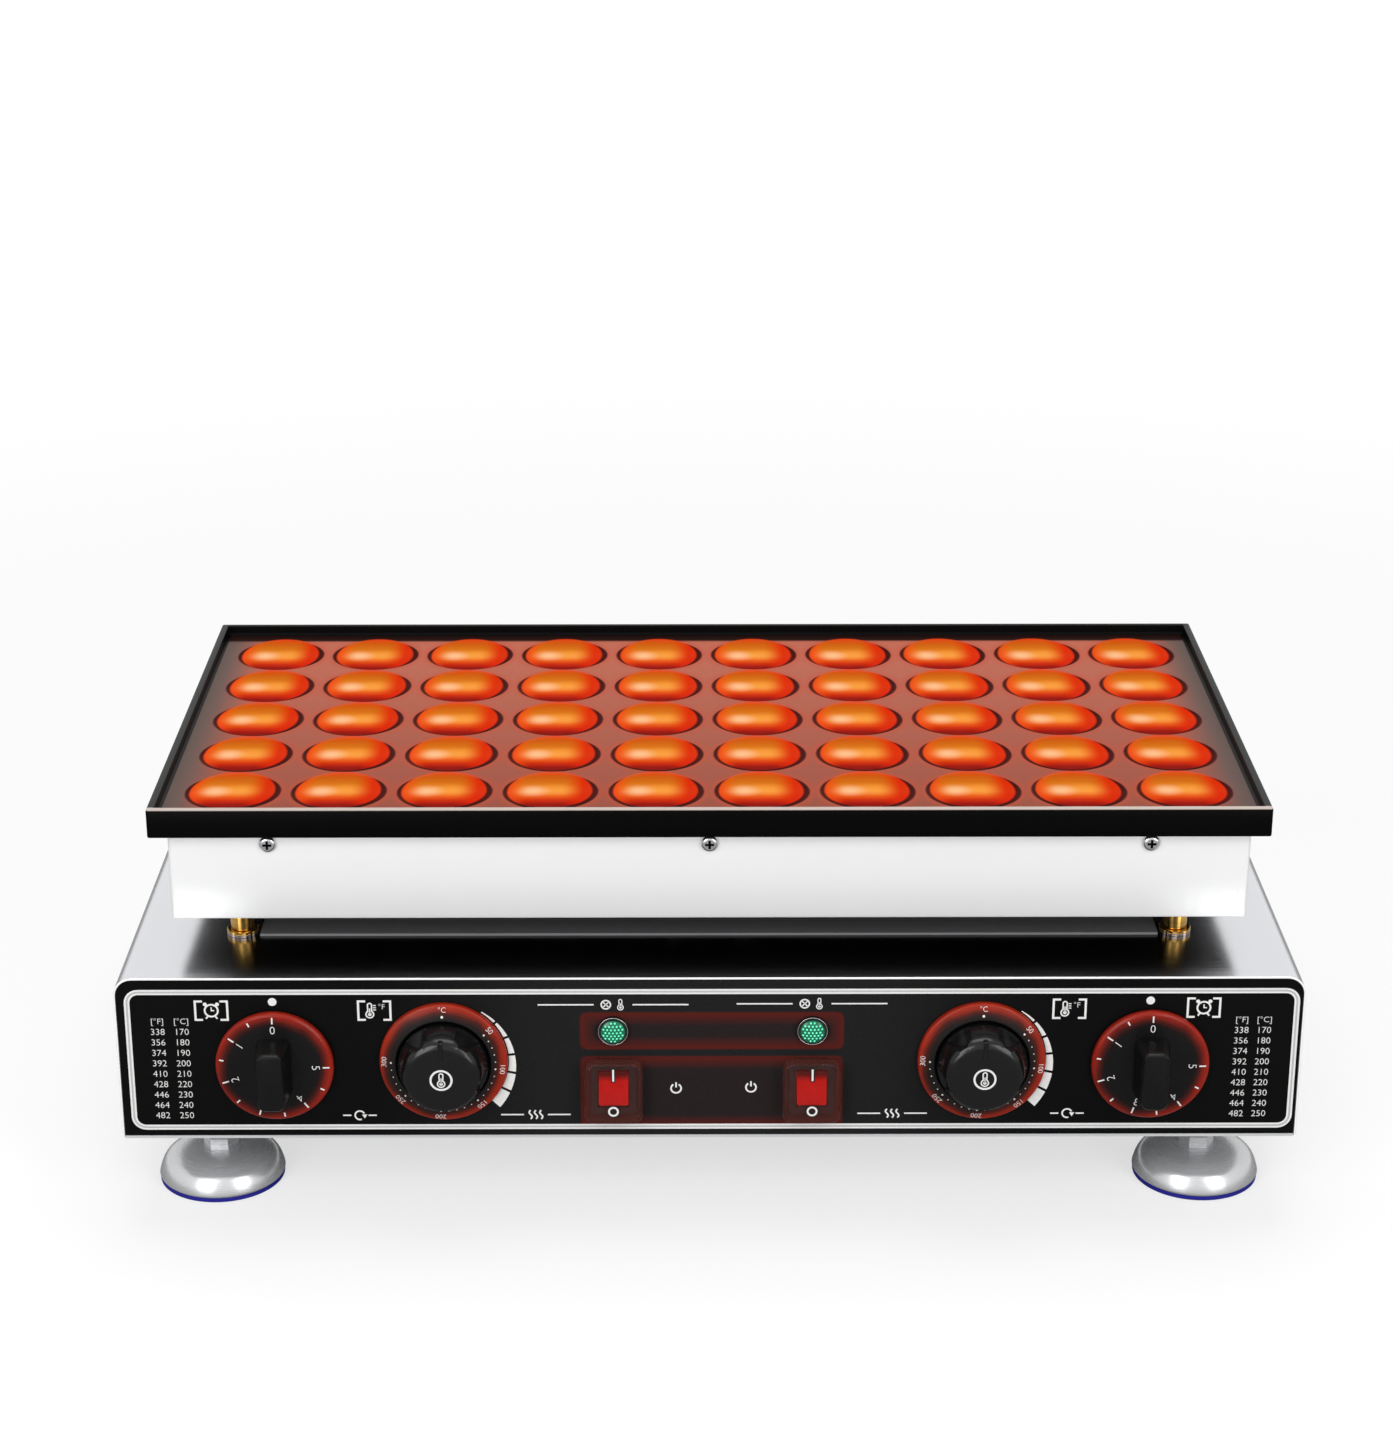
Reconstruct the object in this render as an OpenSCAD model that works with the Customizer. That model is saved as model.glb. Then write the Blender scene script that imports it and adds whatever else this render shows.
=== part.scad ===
// Electric mini-pancake baker with a cup plate, a heater box on posts and a low control base.
// Millimetres. X to the right, Y to the back, Z up, origin on the floor under the middle.

/* [Base] */
// Width of the base casing
base_w = 490; // [470:1:560]
// Depth of the base casing
base_d = 300; // [290:1:360]
// Height of the base casing
base_h = 73.5; // [72:0.5:90]
// Radius of the two bends along the top of the casing
bend_r = 8; // [4:0.5:12]
// Thickness of the casing sheet
sheet_t = 1; // [0.8:0.1:1.5]
// Thickness of the bottom plate
bottom_t = 1.2; // [0.8:0.1:2]
// Thickness of the printed fascia film
fascia_t = 0.5; // [0.3:0.1:1]
// Depth of the fascia behind the casing edge
fascia_recess = 0.3; // [0.2:0.1:1]
// Width of the folded flanges that take the screws
flange_w = 12; // [10:0.5:16]

/* [Feet] */
// Height of the base above the floor with the feet screwed in
foot_h = 36.5; // [34:0.5:50]
// Largest radius of a bell foot
bell_r = 27; // [22:0.5:32]
// Height of the bell
bell_h = 14.5; // [12:0.5:18]
// Distance of a foot from the side of the base
foot_in_x = 35; // [30:0.5:36]
// Distance of a foot from the front and the back of the base
foot_in_y = 37; // [30:0.5:60]
// Diameter of the foot stud
stud_d = 8; // [6:0.5:10]
// How far a foot can be screwed out
foot_travel = 8; // [4:0.5:10]
// Thickness of the pad edge below the bell
pad_t = 1.5; // [1:0.1:3]

/* [Posts] */
// Clear height between the base and the heater box
post_gap = 14; // [12:0.5:25]
// Outer diameter of a brass post
post_d = 10; // [9:0.5:12]
// Distance of a post from the side of the heater box
post_in_x = 26.5; // [20:0.5:40]
// Distance of a post from the front and the back of the heater box
post_in_y = 18.1; // [10:0.1:20]
// Outer diameter of the toothed washers
washer_d = 13.4; // [12.5:0.1:16]
// Thickness of one toothed washer
washer_t = 1.2; // [0.8:0.1:2]
// Diameter of the post bolts
post_bolt_d = 5; // [4:0.5:6]

/* [Heater box] */
// Height of the heater box walls
box_h = 39.5; // [38:0.5:60]
// How far the plate stands out over the box all round
plate_overhang = 7; // [3:0.5:9]
// Thickness of the insulation board
board_t = 12; // [8:0.5:14]
// Diameter of the tubular heating elements
element_d = 8; // [6.5:0.5:9]
// Spacing of the straight runs of an element
element_pitch = 46; // [36:1:48]
// Length of the straight runs of an element
element_run = 140; // [110:1:145]

/* [Baking plate] */
// Width of the plate
plate_w = 461; // [456:1:468]
// Depth of the plate
plate_d = 233; // [228:1:240]
// Distance of the plate behind the front of the base
plate_setback = 20.5; // [15:0.5:40]
// Height of the plate rim
rim_h = 12.5; // [10:0.5:16]
// Thickness of the rim
rim_t = 3.2; // [3:0.1:5]
// Depth of the deck below the top of the rim
deck_drop = 4.5; // [4:0.1:7.5]
// Diameter of a cup at the deck
cup_d = 39.6; // [30:0.1:40]
// Depth of a cup below the deck
cup_depth = 11; // [8:0.5:12]
// Cups along the width
cups_x = 10; // [4:1:10]
// Cups along the depth
cups_y = 5; // [2:1:5]
// Cup spacing along the width
pitch_x = 44.2; // [42:0.1:44.6]
// Cup spacing along the depth
pitch_y = 42.5; // [42:0.1:43]
// How far the cup pattern lies behind the middle of the plate
cup_shift = -0.5; // [-2:0.1:2.4]
// How far the cast block reaches down inside the box
block_drop = 9; // [8:0.5:12]

/* [Controls] */
// Sideways offset of all controls from the middle of the panel
control_shift = 1.2; // [-2:0.1:2]
// Distance of a timer axis from the side of the base
timer_in_x = 64; // [61:0.5:73]
// Height of a timer axis above the base bottom
timer_z = 34.5; // [33:0.5:40]
// Radius of a timer skirt
skirt_r = 24.4; // [23:0.1:28]
// Distance of the knob grips' faces in front of the casing
knob_out = 19; // [18:0.5:26]
// Width of a timer grip
grip_w = 11.6; // [9:0.1:14]
// Length of a timer grip
grip_l = 26; // [20:0.5:30]
// Distance of a thermostat axis from its timer axis
thermostat_step = 69.8; // [63:0.1:76]
// Height of a thermostat axis above the base bottom
thermostat_z = 36; // [34:0.5:40]
// Outer radius of a printed thermostat ring
ring_r = 26.5; // [25:0.1:28]
// Thickness of a thermostat ring
ring_t = 4.5; // [3:0.1:6]
// Radius of a thermostat knob
dial_r = 18.6; // [18.5:0.1:20.5]
// Distance of a thermostat knob face in front of the casing
dial_out = 17; // [15:0.5:17]
// Diameter of the control shafts
shaft_d = 6; // [5:0.5:7]
// Distance of a lamp and a switch from the middle of the controls
switch_x = 41.1; // [36:0.1:50]
// Height of a lamp axis above the base bottom
lamp_z = 49.8; // [48:0.1:56]
// Diameter of a lamp bezel
lamp_d = 12.4; // [12:0.1:14]
// Height of a switch centre above the base bottom
switch_z = 23.2; // [21:0.1:25]
// Width of a clear switch boot
boot_w = 24.2; // [22:0.1:28]
// Height of a clear switch boot
boot_h = 27.5; // [26:0.1:30]
// Distance of the boot face in front of the fascia
boot_out = 7.5; // [7.5:0.1:12]
// Width of a rocker
rocker_w = 12.2; // [10:0.1:13]
// Length of a rocker
rocker_l = 14.4; // [12:0.1:15]
// Angle of a rocker to each side of its middle
rocker_tilt = 10; // [6:1:12]

/* [Cable gland] */
// Distance of the gland from the right side of the base
gland_in_x = 60; // [40:1:100]
// Height of the gland axis above the base bottom
gland_z = 28; // [22:1:36]
// Diameter of the gland thread
gland_d = 16; // [14:0.5:20]
// Bore of the gland
gland_bore = 9; // [7:0.5:10]
// How far the gland stands out behind the base
gland_out = 16; // [14:0.5:24]

/* [Hidden] */
$fn = 64;
// Running clearance of a shaft in its bore, on the radius
running = 0.05;
// Clearance of a bolt in its hole, on the radius
bolt_clear = 0.25;
// Clearance between sheets that are slid together
slide_gap = 0.15;
// Clearance between a moving piece and a fixed one
move_gap = 0.5;
// Cut that reaches past a face
past = 1;

// Levels from the floor up
top_z = foot_h + base_h;
box_z = top_z + post_gap;
rim_z = box_z + box_h;
plate_z = rim_z + rim_h;
deck_z = plate_z - deck_drop;
block_z = rim_z - block_drop;

// Depths from the front
overall_d = knob_out + base_d + gland_out;
front_y = -overall_d / 2 + knob_out;
back_y = front_y + base_d;
panel_back = fascia_recess + fascia_t + sheet_t;
plate_y = front_y + plate_setback;
plate_mid_y = plate_y + plate_d / 2;
box_w = plate_w - 2 * plate_overhang;
box_d = plate_d - 2 * plate_overhang;
block_gap = 0.5;
block_w = box_w - 2 * (sheet_t + block_gap);
block_d = box_d - 2 * (sheet_t + block_gap);

// Posts
post_x = box_w / 2 - post_in_x;
post_y = box_d / 2 - post_in_y;
post_spots = [for (sx = [-1, 1], sy = [-1, 1]) [sx * post_x, plate_mid_y + sy * post_y]];
washer_count = 2;
post_bottom_z = top_z + washer_count * washer_t;

// Bolts and screws
m4_d = 4;
m4_head_d = 7.5;
m4_head_t = 2.4;
nut_t = 4;
bolt_head_t = 3;
hex_ratio = 1.8;
box_screw_in_x = 41.3;
box_screw_drop = 5.2;
box_screw_x = box_w / 2 - box_screw_in_x;
box_screw_z = rim_z - box_screw_drop;
box_screw_l = 9;
nut_room = 2;

// Elements inside the heater box
board_gap = 1;
element_gap = 0.2;
element_z = block_z - element_d / 2 - element_gap;
clamp_t = 1.5;
clamp_gap = 0.1;
clamp_z = element_z - element_d / 2 - clamp_t - clamp_gap;
clamp_over = 2;
clamp_share = [0.25, 0.8];
clamp_w = 14;
clamp_thread = 3.2;
clamp_screw_l = block_z + clamp_thread - clamp_z;
element_runs = 4;
element_in_x = 24;
leg_x = 15;
leg_drop = 14;
leg_bottom_z = top_z - leg_drop;
leg_clear = 0.8;
leg_hole_d = element_d + 2 * leg_clear;
element_bend = leg_x + element_d;
bulb_d = 6;
bulb_l = 90;
capillary_d = 2;
capillary_x = 58;
capillary_drop = 8;
capillary_z = top_z - capillary_drop;
capillary_clear = 1;
bulb_z = block_z - bulb_d / 2 - element_gap;
bulb_in = 8;
bulb_x = capillary_x + bulb_in;

// Control places, from the middle of the controls
timer_x = base_w / 2 - timer_in_x;
thermostat_x = timer_x - thermostat_step;

// Control bodies behind the panel
timer_body = 40;
timer_body_depth = 40;
timer_boss = 2;
thermostat_body_w = 44;
thermostat_body_h = 38;
thermostat_body_depth = 36;
thermostat_boss = 3;
bush_depth = 14;
shaft_clear = 1;
control_screw_x = 14;
control_screw_head = 1.6;
control_head_d = 6.4;
control_screw_spare = 4;
control_screw_l = panel_back + bush_depth - control_screw_spare;
switch_wall = 1.2;
switch_depth = 24;
bezel_t = 1.4;
bezel_margin = 1.6;
bezel_corner = 1.5;
rocker_pivot_in = 3;
rocker_gap = 0.4;
pivot_d = 2.6;
pivot_l = 0.8;
pivot_end_gap = 0.2;
boot_wall = 1;
boot_corner = 4;
lamp_barrel_d = 9.8;
lamp_depth = 26;
lamp_bezel_t = 2;
lamp_lip = 1.2;
lens_ledge = 1;
lens_seat = 1;
lens_rise = 2.2;
lens_d = lamp_d - 2 * lamp_lip;
lens_z = lamp_bezel_t - fascia_recess - lens_seat;
well_w = rocker_w + 2 * rocker_gap;
rocker_body = 2.4;
rocker_horn = 1.4;
rocker_waist = rocker_pivot_in + rocker_body;
rocker_crown = rocker_waist + rocker_horn;
rocker_side = 1;
rocker_keel = 4;
rocker_keel_l = 7.2;
rocker_dish = [3.24, 0.25];
well_l = 2 * (rocker_l / 2 * cos(rocker_tilt) + rocker_crown * sin(rocker_tilt) + rocker_gap);
switch_w = well_w + 2 * switch_wall;
switch_l = well_l + 2 * switch_wall;

// Terminals and wiring
terminal_l = 80;
terminal_d = 24;
terminal_h = 20;
terminal_in_y = 80;
terminal_y = back_y - terminal_in_y;
terminal_top = foot_h + bottom_t + terminal_h;
terminal_ways = 6;
terminal_hole_d = 4.5;
terminal_hole_l = 6;
terminal_hole_z = 7;
wire_r = 1.2;
wire_lane = 5;
wire_room = 16;
tap = 6;
gland_x = base_w / 2 - gland_in_x;
gland_hex_over = 3.6;
gland_nut_over = 3.2;
gland_dome_over = 1.9;
gland_mouth_in = 1.3;
gland_hex_d = gland_d + 2 * gland_hex_over;
gland_nut_d = gland_d + 2 * gland_nut_over;
gland_hex_l = 6;
gland_dome_r = gland_d / 2 + gland_dome_over;
gland_mouth_r = gland_d / 2 - gland_mouth_in;
gland_dome_l = 4;
gland_inner_l = 12;
earth_x = -gland_x;
earth_screw_l = 14;
cover_screw_l = 8;

// Knob shapes
skirt_gap = move_gap - fascia_recess;
skirt_t = 3.5;
skirt_edge = 1;
skirt_crown = 0.6;
knob_cap = 4;
grip_neck_r = 15;
neck_h = 3;
neck_flare = 3;
grip_corner = 3.5;
hub_recess_r = 19;
hub_recess = 2.4;
dial_wall = 1;
scallop_count = 5;
scallop_r = 7;
scallop_bite = 3.2;
scallop_rise = 1;
scallop_start = ring_t + scallop_rise;
dial_side_h = 7;
dial_taper = 2.5;
dial_round = 2;
ring_gap = 0.8;
ring_land = 0.8;
ring_edge_h = 1.8;
ring_bevel = [1.2, 1.6];
pointer_in = 2;
pointer_w = 2.4;
pointer_l = 9;
pointer_t = 0.8;

// Feet
hex_af = 13;
hex_t = 5.5;
insert_h = 12;
insert_d = 15;
stud_spare = 2;
stud_over = foot_travel + stud_spare;
bell_lip = 2;
bell_power = 2.5;
bell_step = 6;
recess_h = 3;
pad_in = 0.4;
pad_fit = 0.1;
pad_edge = 0.4;
foot_x = base_w / 2 - foot_in_x;
foot_y1 = front_y + foot_in_y;
foot_y2 = back_y - foot_in_y;
foot_spots = [[-foot_x, foot_y1], [foot_x, foot_y1], [-foot_x, foot_y2], [foot_x, foot_y2]];

// Spots of the screws that hold the bottom plate
flange_x = base_w / 2 - sheet_t - flange_w / 2;
bottom_screw_share = [0.3, 0.5, 0.7];
bottom_screw_spots = [for (s = [-1, 1], f = bottom_screw_share) [s * flange_x, front_y + f * base_d]];

// Spots of the screws that hold the rear panel, height above the base bottom
rear_screw_low = 16;
rear_screw_drop = 22;
rear_screw_high = base_h - rear_screw_drop;
rear_screw_spots = [for (s = [-1, 1], z = [rear_screw_low, rear_screw_high]) [s * flange_x, z]];
rear_in = fascia_recess + sheet_t;

// Heat shield
shield_gap = 1;
shield_over = 4;

// Depth of one straight run of an element
function element_y(i) = plate_mid_y + (i - (element_runs - 1) / 2) * element_pitch;

// Places a child on the front, with local Z out of the panel and local Y up
module on_panel(x, z) {
    translate([x, front_y, foot_h + z])
        rotate([90, 0, 0])
            children();
}

// Section of the casing seen from the front, bottom edge on zero
module casing_outline(inset) {
    r = max(bend_r - inset, 0.2);
    half = base_w / 2 - inset;
    high = base_h - inset;
    translate([-half, 0])
        square([2 * half, high - r]);
    translate([-half + r, 0])
        square([2 * (half - r), high]);
    for (s = [-1, 1])
        translate([s * (half - r), high - r])
            circle(r);
}

// Sheet that closes one end of the casing, from depth y0 on
module end_sheet(y0, t) {
    translate([0, y0 + t, foot_h])
        rotate([90, 0, 0])
            linear_extrude(t)
                difference() {
                    casing_outline(sheet_t + slide_gap);
                    translate([-base_w / 2, -past])
                        square([base_w, bottom_t + past]);
                }
}

// Rectangle with round corners, centred
module round_rect(w, h, r) {
    square([w - 2 * r, h], center = true);
    square([w, h - 2 * r], center = true);
    for (sx = [-1, 1], sy = [-1, 1])
        translate([sx * (w / 2 - r), sy * (h / 2 - r)])
            circle(r);
}

// Slot with round ends, centred
module slot(l, w) {
    square([l - w, w], center = true);
    for (s = [-1, 1])
        translate([s * (l - w) / 2, 0])
            circle(d = w);
}

// Straight round bar between two points
module bar(a, b, r) {
    d = b - a;
    l = norm(d);
    translate(a)
        rotate([0, acos(d[2] / l), atan2(d[1], d[0])])
            cylinder(h = l, r = r, $fn = 24);
}

// Round wire along a list of points, with ball corners
module wire_path(points, r) {
    for (i = [0 : len(points) - 2])
        bar(points[i], points[i + 1], r);
    for (i = [1 : len(points) - 2])
        translate(points[i])
            sphere(r, $fn = 24);
}

// Pan-head screw with a cross recess, head on zero and shank down
module pan_screw(d, head_d, head_t, l) {
    recess_l = 0.64 * head_d;
    recess_w = 0.14 * head_d;
    recess_floor = 0.45 * head_t;
    difference() {
        union() {
            intersection() {
                cylinder(h = head_t, d = head_d);
                translate([0, 0, head_t - head_d])
                    sphere(head_d);
            }
            translate([0, 0, -l])
                cylinder(h = l, d = d);
        }
        for (a = [0, 90])
            rotate(a)
                translate([-recess_l / 2, -recess_w / 2, recess_floor])
                    cube([recess_l, recess_w, head_t]);
    }
}

// Places of the shaft holes, lamp holes and switch openings, cut through a sheet
module control_holes() {
    for (s = [-1, 1]) {
        for (p = [[timer_x, timer_z], [thermostat_x, thermostat_z]])
            on_panel(control_shift + s * p[0], p[1]) {
                translate([0, 0, -panel_back - past])
                    cylinder(h = panel_back + 2 * past, d = shaft_d + 2 * shaft_clear);
                for (t = [-1, 1])
                    translate([t * control_screw_x, 0, -panel_back - past])
                        cylinder(h = panel_back + 2 * past, d = m4_d + 2 * bolt_clear);
            }
        on_panel(control_shift + s * switch_x, lamp_z)
            translate([0, 0, -panel_back - past])
                cylinder(h = panel_back + 2 * past, d = lamp_barrel_d + 2 * slide_gap);
        on_panel(control_shift + s * switch_x, switch_z)
            translate([0, 0, -panel_back - past])
                linear_extrude(panel_back + 2 * past)
                    square([switch_w + 2 * slide_gap, switch_l + 2 * slide_gap], center = true);
    }
}

// Holes for the element legs and the capillary tubes, cut through every level between z0 and z1
module lead_holes(z0, z1) {
    for (s = [-1, 1]) {
        for (y = [element_y(0), element_y(element_runs - 1)])
            translate([s * leg_x, y, z0 - past])
                cylinder(h = z1 - z0 + 2 * past, d = leg_hole_d);
        translate([s * capillary_x, plate_mid_y, z0 - past])
            cylinder(h = z1 - z0 + 2 * past, d = capillary_d + 2 * capillary_clear);
    }
}

// Holes for the four post bolts
module post_holes(z0, z1, d) {
    for (p = post_spots)
        translate([p[0], p[1], z0 - past])
            cylinder(h = z1 - z0 + 2 * past, d = d);
}

// Folded top and sides of the base, with flanges for the bottom plate and the rear panel
module base_casing() {
    flange_l = base_d - panel_back - past - rear_in;
    color("silver")
        difference() {
            union() {
                translate([0, back_y, foot_h])
                    rotate([90, 0, 0])
                        linear_extrude(base_d)
                            difference() {
                                casing_outline(0);
                                casing_outline(sheet_t);
                                translate([-base_w / 2 + sheet_t, -past])
                                    square([base_w - 2 * sheet_t, 2 * past]);
                            }
                for (s = [-1, 1])
                    translate([s > 0 ? base_w / 2 - sheet_t - flange_w : -base_w / 2 + sheet_t / 2, 0, 0]) {
                        translate([0, front_y + panel_back + past, foot_h + bottom_t])
                            cube([flange_w + sheet_t / 2, flange_l, sheet_t]);
                        translate([0, back_y - rear_in - sheet_t, foot_h + bottom_t])
                            cube([flange_w + sheet_t / 2, sheet_t, base_h - bend_r - bottom_t - past]);
                    }
            }
            post_holes(top_z - sheet_t, top_z, post_bolt_d + 2 * bolt_clear);
            lead_holes(top_z - sheet_t, top_z);
            for (p = bottom_screw_spots)
                translate([p[0], p[1], foot_h])
                    cylinder(h = bottom_t + sheet_t + past, d = m4_d + 2 * bolt_clear);
            for (p = rear_screw_spots)
                translate([p[0], back_y - rear_in - sheet_t - past, foot_h + p[1]])
                    rotate([-90, 0, 0])
                        cylinder(h = sheet_t + 2 * past, d = m4_d + 2 * bolt_clear);
        }
}

// Flat steel sheet behind the fascia that carries the controls
module front_panel() {
    color("gainsboro")
        difference() {
            end_sheet(front_y + fascia_recess + fascia_t, sheet_t);
            control_holes();
        }
}

// Printed black film on the front panel
module fascia() {
    color("black")
        difference() {
            end_sheet(front_y + fascia_recess, fascia_t);
            control_holes();
        }
}

// Rear sheet with its vent slots and the gland hole
module rear_panel() {
    vent_l = 36;
    vent_w = 3.2;
    vent_step = [50, 9];
    vents = [4, 5];
    cut_y = back_y - rear_in - past;
    color("silver")
        difference() {
            end_sheet(back_y - rear_in, sheet_t);
            for (i = [0 : vents[0] - 1], j = [0 : vents[1] - 1])
                translate([(i - (vents[0] - 1) / 2) * vent_step[0], cut_y,
                        foot_h + base_h / 2 + (j - (vents[1] - 1) / 2) * vent_step[1]])
                    rotate([-90, 0, 0])
                        linear_extrude(sheet_t + 2 * past)
                            slot(vent_l, vent_w);
            translate([gland_x, cut_y, foot_h + gland_z])
                rotate([-90, 0, 0])
                    cylinder(h = sheet_t + 2 * past, d = gland_d + 2 * slide_gap);
            for (p = concat(rear_screw_spots, [[earth_x, gland_z]]))
                translate([p[0], cut_y, foot_h + p[1]])
                    rotate([-90, 0, 0])
                        cylinder(h = sheet_t + 2 * past, d = m4_d + 2 * bolt_clear);
        }
}

// Bottom sheet with vent slots and the holes for the foot studs
module bottom_plate() {
    vent_l = 60;
    vent_w = 4;
    vent_step = [78, 14];
    vents = [4, 6];
    w = base_w - 2 * (sheet_t + slide_gap);
    color("silver")
        difference() {
            translate([-w / 2, front_y, foot_h])
                cube([w, base_d, bottom_t]);
            for (i = [0 : vents[0] - 1], j = [0 : vents[1] - 1])
                translate([(i - (vents[0] - 1) / 2) * vent_step[0],
                        front_y + base_d / 2 + (j - (vents[1] - 1) / 2) * vent_step[1], foot_h - past])
                    linear_extrude(bottom_t + 2 * past)
                        slot(vent_l, vent_w);
            for (p = foot_spots)
                translate([p[0], p[1], foot_h - past])
                    cylinder(h = bottom_t + 2 * past, d = stud_d + 2 * move_gap);
            for (p = bottom_screw_spots)
                translate([p[0], p[1], foot_h - past])
                    cylinder(h = bottom_t + 2 * past, d = m4_d + 2 * bolt_clear);
        }
}

// Thin sheet on the base between the posts, which keeps heat off the controls
module heat_shield() {
    w = 2 * (post_x - washer_d / 2 - shield_gap);
    d = 2 * (post_y + shield_over);
    color("lightgray")
        difference() {
            translate([-w / 2, plate_mid_y - d / 2, top_z])
                cube([w, d, sheet_t]);
            lead_holes(top_z, top_z + sheet_t);
        }
}

// Open sheet tray under the plate
module heater_box() {
    color("gainsboro")
        difference() {
            translate([-box_w / 2, plate_mid_y - box_d / 2, box_z])
                cube([box_w, box_d, box_h]);
            translate([-box_w / 2 + sheet_t, plate_mid_y - box_d / 2 + sheet_t, box_z + sheet_t])
                cube([box_w - 2 * sheet_t, box_d - 2 * sheet_t, box_h]);
            post_holes(box_z, box_z + sheet_t, post_bolt_d + 2 * bolt_clear);
            lead_holes(box_z, box_z + sheet_t);
            box_screw_holes(m4_d + 2 * bolt_clear);
        }
}

// Places one child at every box screw, local Z out of the box
module at_box_screws() {
    for (sx = [-1, 0, 1], back = [0, 1])
        translate([sx * box_screw_x, plate_mid_y, box_screw_z])
            rotate([0, 0, back * 180])
                translate([0, -box_d / 2, 0])
                    rotate([90, 0, 0])
                        children();
}

module box_screw_holes(d) {
    at_box_screws()
        translate([0, 0, -box_screw_l - past])
            cylinder(h = box_screw_l + 2 * past, d = d);
}

// Cast plate with its rim, the cups and the block that reaches into the box
module baking_plate() {
    cup_r = (cup_d * cup_d / 4 + cup_depth * cup_depth) / (2 * cup_depth);
    color("dimgray")
        difference() {
            union() {
                translate([-plate_w / 2, plate_y, rim_z])
                    cube([plate_w, plate_d, rim_h]);
                translate([-block_w / 2, plate_mid_y - block_d / 2, block_z])
                    cube([block_w, block_d, block_drop + past]);
            }
            translate([-plate_w / 2 + rim_t, plate_y + rim_t, deck_z])
                cube([plate_w - 2 * rim_t, plate_d - 2 * rim_t, deck_drop + past]);
            for (i = [0 : cups_x - 1], j = [0 : cups_y - 1])
                translate([(i - (cups_x - 1) / 2) * pitch_x,
                        plate_mid_y + cup_shift + (j - (cups_y - 1) / 2) * pitch_y,
                        deck_z - cup_depth + cup_r])
                    sphere(cup_r);
            box_screw_holes(m4_d + 2 * bolt_clear);
            at_clamp_screws()
                translate([0, 0, -past])
                    cylinder(h = clamp_screw_l + past, d = m4_d + 2 * bolt_clear);
        }
}

// Tubular element of one side: straight runs joined by bends, with both ends led down into the base
module heater_element(s) {
    x0 = s * (element_bend + element_in_x);
    x1 = x0 + s * element_run;
    turn_r = element_pitch / 2;
    r = element_d / 2;
    color("dimgray") {
        for (i = [0 : element_runs - 1]) {
            outer = i == 0 || i == element_runs - 1;
            bar([outer ? s * element_bend : x0, element_y(i), element_z], [x1, element_y(i), element_z], r);
        }
        for (i = [0 : element_runs - 2])
            translate([i % 2 == 0 ? x1 : x0, element_y(i) + turn_r, element_z])
                rotate([0, 0, (i % 2 == 0 ? -90 : 90) * s])
                    rotate_extrude(angle = 180)
                        translate([turn_r, 0])
                            circle(r);
        for (i = [0, element_runs - 1]) {
            translate([s * element_bend, element_y(i), element_z - element_d])
                rotate([90, 0, s > 0 ? 180 : 0])
                    rotate_extrude(angle = 90)
                        translate([element_d, 0])
                            circle(r);
            bar([s * leg_x, element_y(i), element_z - element_d], [s * leg_x, element_y(i), leg_bottom_z], r);
        }
    }
}

module heater_element_left() {
    heater_element(-1);
}

module heater_element_right() {
    heater_element(1);
}

// Distance of a clamp bar from the middle, for its share of an element's run
function clamp_x(f) = element_bend + element_in_x + f * element_run;

// Places one child at every clamp screw, on the lower face of a clamp bar
module at_clamp_screws() {
    for (s = [-1, 1], f = clamp_share, j = [0.5, element_runs - 1.5])
        translate([s * clamp_x(f), element_y(j), clamp_z])
            children();
}

// Bars that hold the elements up against the plate
module element_clamps() {
    l = (element_runs - 1) * element_pitch + element_d + 2 * clamp_over;
    color("silver")
        difference() {
            for (s = [-1, 1], f = clamp_share)
                translate([s * clamp_x(f) - clamp_w / 2, plate_mid_y - l / 2, clamp_z])
                    cube([clamp_w, l, clamp_t]);
            at_clamp_screws()
                translate([0, 0, -past])
                    cylinder(h = clamp_t + 2 * past, d = m4_d + 2 * bolt_clear);
        }
}

module clamp_screws() {
    color("silver")
        at_clamp_screws()
            rotate([180, 0, 0])
                pan_screw(m4_d, m4_head_d, m4_head_t, clamp_screw_l - past);
}

// Insulation board on the floor of the heater box
module insulation_board() {
    w = box_w - 2 * (sheet_t + board_gap);
    d = box_d - 2 * (sheet_t + board_gap);
    z = box_z + sheet_t;
    color("beige")
        difference() {
            translate([-w / 2, plate_mid_y - d / 2, z])
                cube([w, d, board_t]);
            post_holes(z, z + board_t, hex_ratio * post_bolt_d + 2 * nut_room);
            lead_holes(z, z + board_t);
        }
}

// Brass tubes between the base and the heater box
module brass_posts() {
    color("goldenrod")
        for (p = post_spots)
            translate([p[0], p[1], post_bottom_z])
                difference() {
                    cylinder(h = box_z - post_bottom_z, d = post_d);
                    translate([0, 0, -past])
                        cylinder(h = box_z - post_bottom_z + 2 * past, d = post_bolt_d + 2 * bolt_clear);
                }
}

// Toothed washers under the posts
module post_washers() {
    teeth = 20;
    tooth = 0.8;
    color("darkgoldenrod")
        for (p = post_spots, k = [0 : washer_count - 1])
            translate([p[0], p[1], top_z + k * washer_t])
                difference() {
                    cylinder(h = washer_t, d = washer_d);
                    translate([0, 0, -past])
                        cylinder(h = washer_t + 2 * past, d = post_bolt_d + 2 * bolt_clear);
                    for (i = [0 : teeth - 1])
                        rotate(360 / teeth * (i + k / 2))
                            translate([washer_d / 2, 0, -past])
                                cylinder(h = washer_t + 2 * past, r = tooth, $fn = 16);
                }
}

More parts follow.
